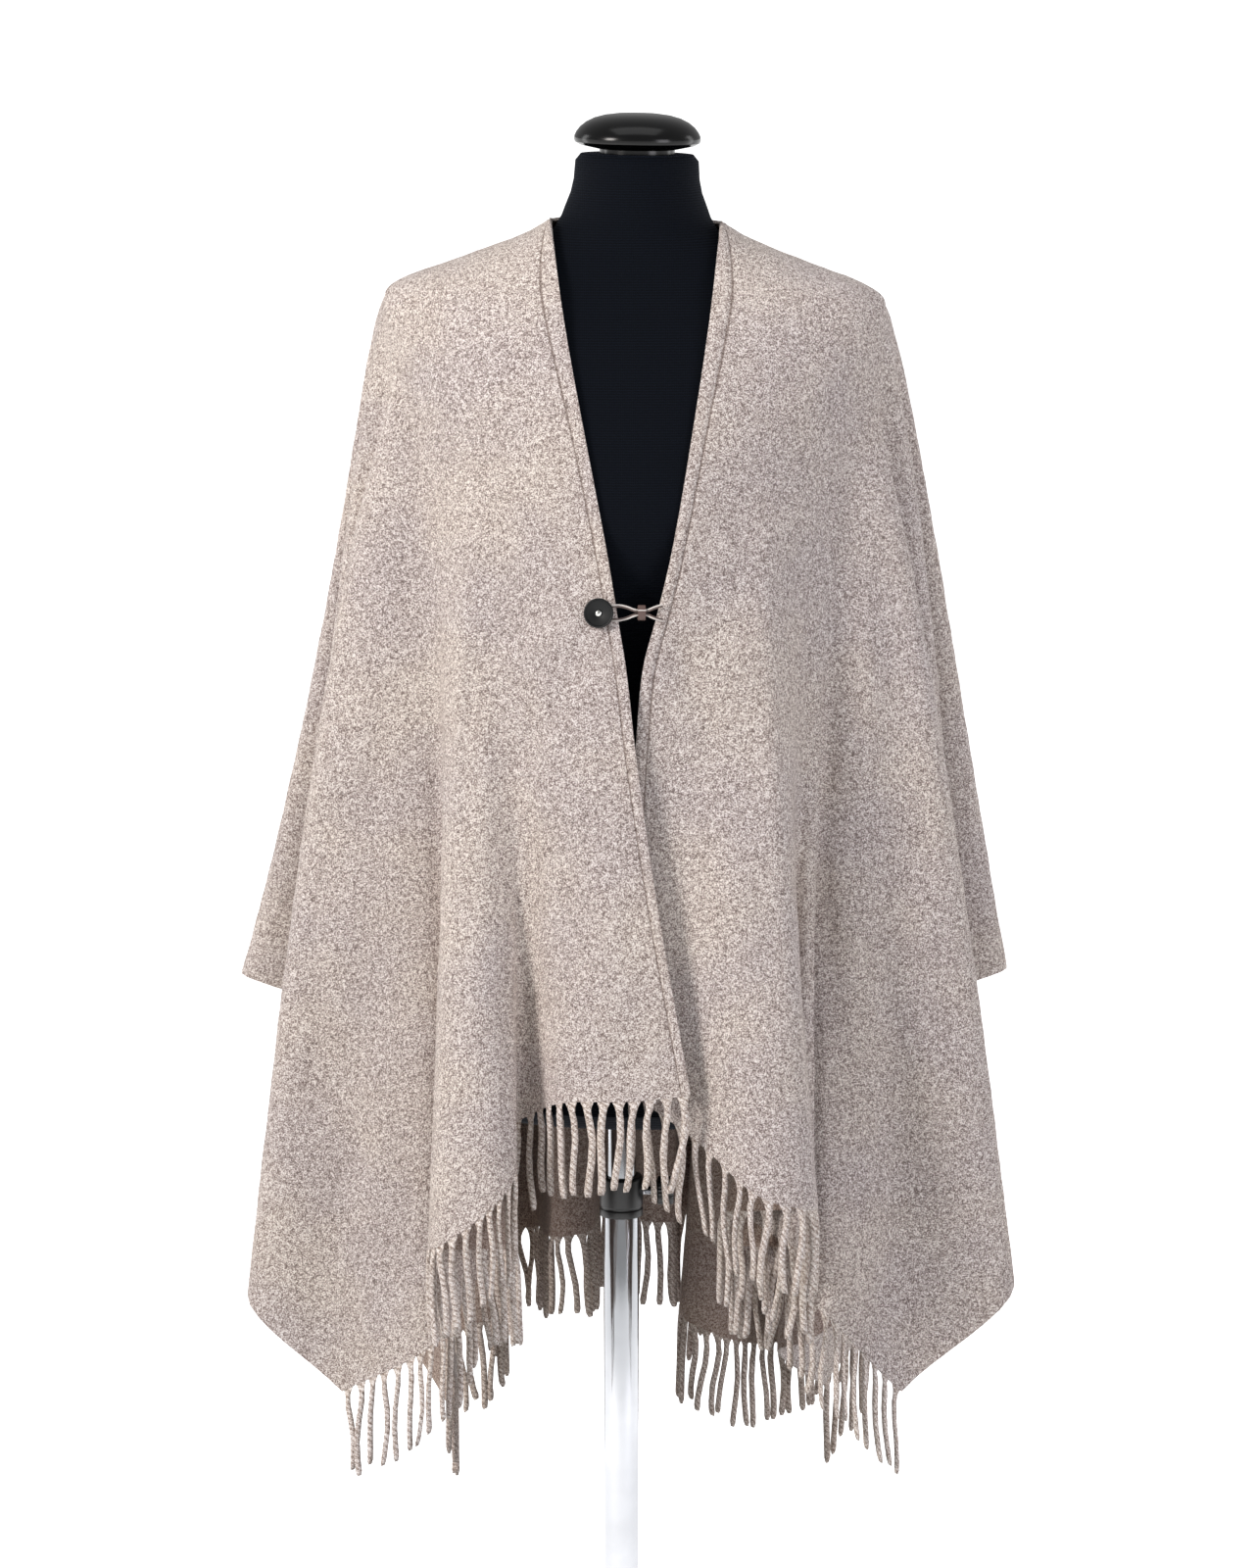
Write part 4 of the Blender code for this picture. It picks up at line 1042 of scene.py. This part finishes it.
def strand_template():
    """A tube rolled from a grid: x and y go round it and z counts its rings. Both UV maps come along."""
    bm = bmesh.new()
    rings = len(STRAND_SHAPE) - 1
    bmesh.ops.create_grid(bm, x_segments=STRAND_SIDES, y_segments=rings, size=1.0)
    bm.loops.layers.uv.new("flat")
    twist = bm.loops.layers.uv.new("twist")
    for face in bm.faces:
        for loop in face.loops:
            ring = round((loop.vert.co.y + 1) / 2 * rings)
            loop[twist].uv = ((loop.vert.co.x + 1) / 2, STRAND_SHAPE[ring][0] * STRAND_LENGTH)
    for vert in bm.verts:
        turn = (vert.co.x + 1) * math.pi
        vert.co = (math.cos(turn), math.sin(turn), round((vert.co.y + 1) / 2 * rings))
    bmesh.ops.remove_doubles(bm, verts=bm.verts, dist=0.01)
    bmesh.ops.holes_fill(bm, edges=[e for e in bm.edges if e.is_boundary], sides=0)
    mesh = bpy.data.meshes.new("strand")
    bm.to_mesh(mesh)
    bm.free()
    return mesh


def blocked(root):
    """Whether a strand hung at root would run into another fold of the cloth."""
    return any(SKIN.find_nearest(root - Vector((0, 0, STRAND_LENGTH * k / 12)), STRAND_CLEAR)[0] for k in range(3, 13))


def hang_strand(bm, template, u, shake, lean):
    """Copies the template into bm and bends it along one strand's line."""
    edge, before, way = (between(v, u) for v in (POINTS[:, -1], POINTS[:, -2], WAYS[:, -1]))
    along = (between(POINTS[:, -1], u + 2 * MM) - between(POINTS[:, -1], u - 2 * MM)).normalized()
    down = (edge - before).normalized()
    straight = Vector((0, 0, -1))
    through = down.cross(along).normalized()
    length = STRAND_LENGTH * shake.uniform(0.90, 1.05)
    drift = along * lean + way * shake.uniform(-2.5, 2.5) * MM
    curl, phase = shake.uniform(1.2, 3.4) * MM, shake.uniform(0, math.tau)
    fat = shake.uniform(0.93, 1.08)
    flat = Vector(edge_at(u)[:2])
    first = len(bm.verts)
    loops_from = len(bm.faces)
    bm.from_mesh(template)
    bm.verts.ensure_lookup_table()
    bm.faces.ensure_lookup_table()
    for vert in bm.verts[first:]:
        share, wide, deep = STRAND_SHAPE[round(vert.co.z)]
        s = share * length
        middle = edge - down * 0.9 * MM + straight * s
        middle += (down - straight) * ROOT_TURN * (1 - math.exp(-s / ROOT_TURN)) + drift * share**1.6
        middle += along * curl * math.sin(phase + share * 5) * min(1, share * 4)
        fatness = fat if share > 0.1 else 1.0
        vert.co = middle + (along * vert.co.x * wide + through * vert.co.y * deep) * MM * fatness
    layer = bm.loops.layers.uv["flat"]
    outward = math.copysign(1, flat.y)
    for face in bm.faces[loops_from:]:
        for loop in face.loops:
            loop[layer].uv = (flat.x, flat.y + outward * (edge.z - loop.vert.co.z))


def fringe(name, node, start, end, material, seed):
    """All the strands along one stretch of the hem, as one piece."""
    shake = random.Random(seed)
    template = strand_template()
    bm = bmesh.new()
    bm.loops.layers.uv.new("flat")
    bm.loops.layers.uv.new("twist")
    kept = []
    count = round((end - start) / STRAND_PITCH)
    for k in range(count):
        u = start + (k + 0.5) * (end - start) / count + shake.uniform(-0.8, 0.8) * MM
        root = between(POINTS[:, -1], u)
        if any((root - near).xy.length < STRAND_SPACE for near in kept) or blocked(root):
            continue
        kept.append(root)
        lean = 6.0 * MM * math.sin(k * 0.43 + seed) + shake.uniform(-5.0, 5.0) * MM
        hang_strand(bm, template, u, shake, lean)
    print(name, "strands:", len(kept))
    return finished(name, bm, material, node, smooth=70)


LAST = PLACES[-1]
SIDE_LENGTH = FRONT_LENGTH + BACK_LENGTH
fringes = [
    fringe("front_left_fringe", "fringe_front_left", 0.0, HALF_WIDTH, YARN, 1),
    fringe("back_fringe", "fringe_back", HALF_WIDTH + SIDE_LENGTH, LAST - HALF_WIDTH - SIDE_LENGTH, YARN_SHADE_BEHIND, 2),
    fringe("front_right_fringe", "fringe_front_right", LAST - HALF_WIDTH, LAST, YARN, 3),
]

# %% [markdown]
# ## The edge stitching
# The turned edge is held by one line of stitches about 8 mm in, down both fronts and round the neckline. Each
# stitch is a small flattened bead that sinks a little into the wool, as thread pulled tight does.

# %% Sew the edge
STITCH_INSET = BAND_COLUMNS[SEAM_COLUMN]
STITCH_PITCH = 3.6 * MM
STITCH_SIZE = (1.3 * MM, 0.42 * MM, 0.32 * MM)


def stitch_line():
    """Points of the line from the left hem up to the neck, round it and down the right edge."""
    line = []
    for u, climbing in ((STITCH_INSET, True), (LAST - STITCH_INSET, False)):
        length = down_column(u, 0)[2]
        steps = int((length - STITCH_INSET) / (2 * MM))
        part = [down_column(u, STITCH_INSET + k * 2 * MM)[:2] for k in range(steps)]
        if climbing:
            line += part[::-1]
            line += [down_column(v, STITCH_INSET)[:2] for v in PLACES if STITCH_INSET < v < LAST - STITCH_INSET]
        else:
            line += part
    return line


def edge_stitches():
    bm = bmesh.new()
    line = stitch_line()
    left_over = 0.0
    for (one, way), (other, _) in zip(line, line[1:]):
        run = (other - one).length
        while left_over < run:
            place = on_skin(one.lerp(other, left_over / run), way, 0.05 * MM)
            x_way = (other - one).normalized()
            y_way = way.cross(x_way).normalized()
            axes = [x_way * STITCH_SIZE[0], y_way * STITCH_SIZE[1], x_way.cross(y_way) * STITCH_SIZE[2]]
            matrix = Matrix([(*(axis[k] for axis in axes), place[k]) for k in range(3)] + [(0, 0, 0, 1)])
            bmesh.ops.create_uvsphere(bm, u_segments=6, v_segments=4, radius=1.0, matrix=matrix)
            left_over += STITCH_PITCH
        left_over -= run
    return bm


stitches = finished("edge_stitching", edge_stitches(), THREAD, smooth=80)

# %% [markdown]
# ## The clasp
# A polished resin button is sewn to the left front. A double loop of brown cord comes from the right front,
# drawn together by a short leather wrap, and slipped over the button's shank. A light strand beside each brown
# cord, on the outside, is a painted highlight along the cord's edge, and a light band round the wrap is a painted
# highlight as well. Each cord's route is first laid over the cloth point by point, so that it rests on it and
# nowhere cuts into it.

# %% Place the clasp on the cloth
CLASP_HEIGHT = 1.057
BUTTON_INSET = 12.5 * MM
BUTTON_SEAT = 1.0 * MM
CORD_RADIUS = 1.25 * MM
CORD_LIFT = 1.6 * MM
CORD_CLEAR = 0.8 * MM
CORD_BRIDGE = 0.4 * MM
WRAP_LIFT = 1.0 * MM
CORD_END_LIFT = 3.2 * MM
WRAP_AT = 0.66
CORD_SPREAD_COLUMNS = ("share of the way across", "mm above or below the middle")
CORD_SPREAD = [
    (0.16, 5.0), (0.23, 5.2), (0.30, 5.2), (0.37, 4.7), (0.44, 3.8), (0.56, 1.7), (0.76, 1.7), (0.84, 3.2),
    (0.92, 4.6), (1.00, 5.6),
]


def edge_near(index, beside):
    """A point on that column at the clasp's height, with the way into the panel and the way out of it."""
    line = POINTS[index]
    k = next(j for j in range(len(line) - 1) if line[j + 1][2] < CLASP_HEIGHT)
    share = (line[k][2] - CLASP_HEIGHT) / (line[k][2] - line[k + 1][2])
    edge, other = (Vector(POINTS[i][k] * (1 - share) + POINTS[i][k + 1] * share) for i in (index, beside))
    return edge, (other - edge).normalized(), Vector(WAYS[beside][k]).normalized()


def laid(point, way, height):
    """The point moved out until it is at least that height from the cloth."""
    hit = SKIN.ray_cast(point + way * 6 * MM, -way, 6 * MM)[0]
    if hit:
        point = hit + way * height
    for _ in range(40):
        distance = SKIN.find_nearest(point)[3]
        if distance >= height:
            break
        point = point + way * (height - distance + 0.1 * MM)
    return point


left_edge, into_left, out_left = edge_near(0, SEAM_COLUMN)
right_edge, into_right, out_right = edge_near(-1, -1 - SEAM_COLUMN)
button_place = SKIN.ray_cast(left_edge + into_left * BUTTON_INSET + out_left * 0.02, -out_left)[0]
button_place += out_left * BUTTON_SEAT
cord_start = button_place + out_left * CORD_LIFT
cord_finish = right_edge + into_right * 0.004 + out_right * BAND_WALL / 2
print("button at", [round(v, 4) for v in button_place], "loop", round((cord_finish - cord_start).length / MM, 1), "mm")

# %% Turn the button and the stud
BUTTON_OUTLINE = [
    (0.0, 0.0), (0.0026, 0.0), (0.0030, 0.0005), (0.0030, 0.0034), (0.0098, 0.0034), (0.0108, 0.0038),
    (0.0112, 0.0045), (0.0112, 0.0057), (0.0109, 0.0063), (0.0103, 0.0066), (0.0098, 0.0065), (0.0094, 0.0060),
    (0.0092, 0.0057), (0.0086, 0.0056), (0.0036, 0.0055), (0.0031, 0.0053), (0.0, 0.0053),
]
STUD_OUTLINE = [
    (0.0, 0.0056), (0.0021, 0.0056), (0.0023, 0.0058), (0.0021, 0.0064), (0.0015, 0.0068), (0.0007, 0.0070),
    (0.0, 0.0070),
]
facing = out_left.to_track_quat("Z", "X").to_matrix()
for name, outline, steps, material, node in (
    ("resin_button", BUTTON_OUTLINE, 64, BUTTON_BLACK, "clasp_button"),
    ("button_stud", STUD_OUTLINE, 24, STUD_METAL, "clasp_stud"),
):
    bm = spun(outline, steps)
    for vert in bm.verts:
        vert.co = button_place + facing @ vert.co
    finished(name, bm, material, node)

# %% Lay the cords and the wrap
CORD_POINTS = 36
CORD_SIDES = 10
HIGHLIGHT_STRAND = 0.68 * MM
BROWN_CORD = 0.60 * MM
WRAP_OUTLINE = [
    (0.0022, -0.0027), (0.0025, -0.0029), (0.0029, -0.0026), (0.0029, 0.0026), (0.0025, 0.0029), (0.0022, 0.0027),
]


def cord_route(side):
    """The loop's upper (side 1) or lower (side -1) half, from the button to the right front."""
    shares, path = [], []
    for share, spread in CORD_SPREAD:
        point = cord_start.lerp(cord_finish, share) + Vector((0, 0, side * spread * MM))
        lift = WRAP_LIFT * max(0.0, 1 - abs(share - WRAP_AT) / 0.3)
        lift += CORD_END_LIFT * min(max((share - 0.74) / 0.1, 0.0), 1.0)
        path.append(laid(point + out_left * lift, out_left, CORD_RADIUS + CORD_CLEAR))
        shares.append(share)
    for one, other in zip(path, path[1:]):
        short = CORD_RADIUS + CORD_BRIDGE - SKIN.find_nearest((one + other) / 2)[3]
        if short > 0:
            one += out_left * short
            other += out_left * short
    at = [shares[0] + (shares[-1] - shares[0]) * k / CORD_POINTS for k in range(CORD_POINTS + 1)]
    return [Vector([spline(shares, [p[k] for p in path], t) for k in range(3)]) for t in at]


def round_cord(bm, path, radius, material_index):
    """A circle is made at the start of the path and extruded along it, point by point."""
    frames = []
    for i, point in enumerate(path):
        along = (path[min(i + 1, len(path) - 1)] - path[max(i - 1, 0)]).normalized()
        turn = along.to_track_quat("Z", "Y").to_matrix().to_4x4()
        frames.append(Matrix.Translation(point) @ turn)
    ring = bmesh.ops.create_circle(bm, segments=CORD_SIDES, radius=radius, cap_ends=False, matrix=frames[0])["verts"]
    ring_edges = {e for v in ring for e in v.link_edges}
    start_edges = list(ring_edges)
    made = []
    for one, other in zip(frames, frames[1:]):
        drawn = bmesh.ops.extrude_edge_only(bm, edges=list(ring_edges))["geom"]
        fresh = [g for g in drawn if isinstance(g, bmesh.types.BMVert)]
        bmesh.ops.transform(bm, matrix=other @ one.inverted(), verts=fresh)
        ring_edges = {e for v in fresh for e in v.link_edges if e.other_vert(v) in fresh}
        made += list({f for v in fresh for f in v.link_faces})
    ends = bmesh.ops.holes_fill(bm, edges=start_edges + list(ring_edges), sides=0)["faces"]
    for face in made + ends:
        if face.is_valid:
            face.material_index = material_index


for name, node, side in (("upper_cords", "clasp_cord_upper", 1), ("lower_cords", "clasp_cord_lower", -1)):
    route = cord_route(side)
    bm = bmesh.new()
    # Each half is a brown cord with a light strand outside it, a painted highlight along the cord's edge.
    for offset, radius, index in ((0.62 * MM, HIGHLIGHT_STRAND, 0), (-0.66 * MM, BROWN_CORD, 1)):
        round_cord(bm, [p + Vector((0, 0, side * offset)) for p in route], radius, index)
    cords = finished(name, bm, CORD_HIGHLIGHT, node, smooth=60)
    cords.data.materials.append(CORD_DARK)

wrap_place = cord_start.lerp(cord_finish, WRAP_AT) + out_left * WRAP_LIFT * 0.93
wrap_turn = (cord_finish - cord_start).to_track_quat("Z", "Y").to_matrix()
bm = spun(WRAP_OUTLINE, 40, closed=True)
for vert in bm.verts:
    vert.co = wrap_place + wrap_turn @ vert.co
    vert.co.z += vert.co.z - wrap_place.z
bm.normal_update()
# Painted highlight: faces 1.6 to 2.8 mm above the wrap's middle take the light highlight material.
for face in bm.faces:
    rise = (face.calc_center_median().z - wrap_place.z) / MM
    face.material_index = 1 if 1.6 < rise < 2.8 else 0
wrap = finished("leather_wrap", bm, LEATHER, "clasp_wrap", smooth=50)
wrap.data.materials.append(CORD_HIGHLIGHT)

# %% [markdown]
# ## The studio
# The photograph is a catalogue picture: the object stands before plain white, with a large soft light from
# the front left and a weaker one from the right. The floor is wide enough to fill the picture, because the
# camera looks down. It is kept out of diffuse light, so it can photograph as white without lighting the
# folds from below, and the room's own even light stands in for it.

# %% Build the studio
FLOOR_WIDTH = 400.0


def wide_floor():
    bm = bmesh.new()
    bmesh.ops.create_grid(bm, x_segments=4, y_segments=4, size=FLOOR_WIDTH / 2)
    return bm


def white_paper():
    """Matt paper, lit so evenly that it photographs as white, so it gives off a little light of its own."""
    material, tree, shader = new_material("white_paper", 0.9)
    shader.inputs["Base Color"].default_value = linear("f4f4f4")
    shader.inputs["Emission Color"].default_value = linear("ffffff")
    shader.inputs["Emission Strength"].default_value = PAPER_GLOW
    return material


PAPER_GLOW = 1.0
backdrop = finished("studio_floor", wide_floor(), white_paper())
backdrop.visible_diffuse = False


def soft_light(name, place, target, width, height, power, colour="ffffff"):
    """A rectangular soft box at a place, turned to face a target."""
    lamp = bpy.data.lights.new(name, "AREA")
    lamp.shape = "RECTANGLE"
    lamp.size, lamp.size_y = width, height
    lamp.energy = power
    lamp.color = linear(colour)[:3]
    piece = bpy.data.objects.new(name, lamp)
    piece.location = place
    piece.rotation_euler = (Vector(target) - Vector(place)).to_track_quat("-Z", "Y").to_euler()
    bpy.context.scene.collection.objects.link(piece)
    return piece


soft_light("key_soft_box", (-2.5, -2.0, 2.25), (0, 0, 0.95), 0.9, 1.4, 88, "fff9f5")
soft_light("fill_soft_box", (2.4, -2.2, 1.5), (0, 0, 0.9), 1.2, 1.8, 34, "fbf8ff")
soft_light("top_soft_box", (0.0, -0.4, 3.2), (0, 0, 1.0), 2.0, 1.2, 9)
soft_light("left_strip", (-2.2, 0.9, 1.4), (0, 0, 1.0), 0.5, 2.0, 9)
soft_light("right_strip", (2.2, 1.0, 1.4), (0, 0, 1.0), 0.5, 2.0, 8)

# %% Set the room's light
world = bpy.data.worlds.new("white_room")
world.use_nodes = True
room = world.node_tree.nodes["Background"]
room.inputs["Color"].default_value = linear("ffffff")
room.inputs["Strength"].default_value = 0.38
bpy.context.scene.world = world
bpy.context.scene.view_settings.view_transform = "Standard"
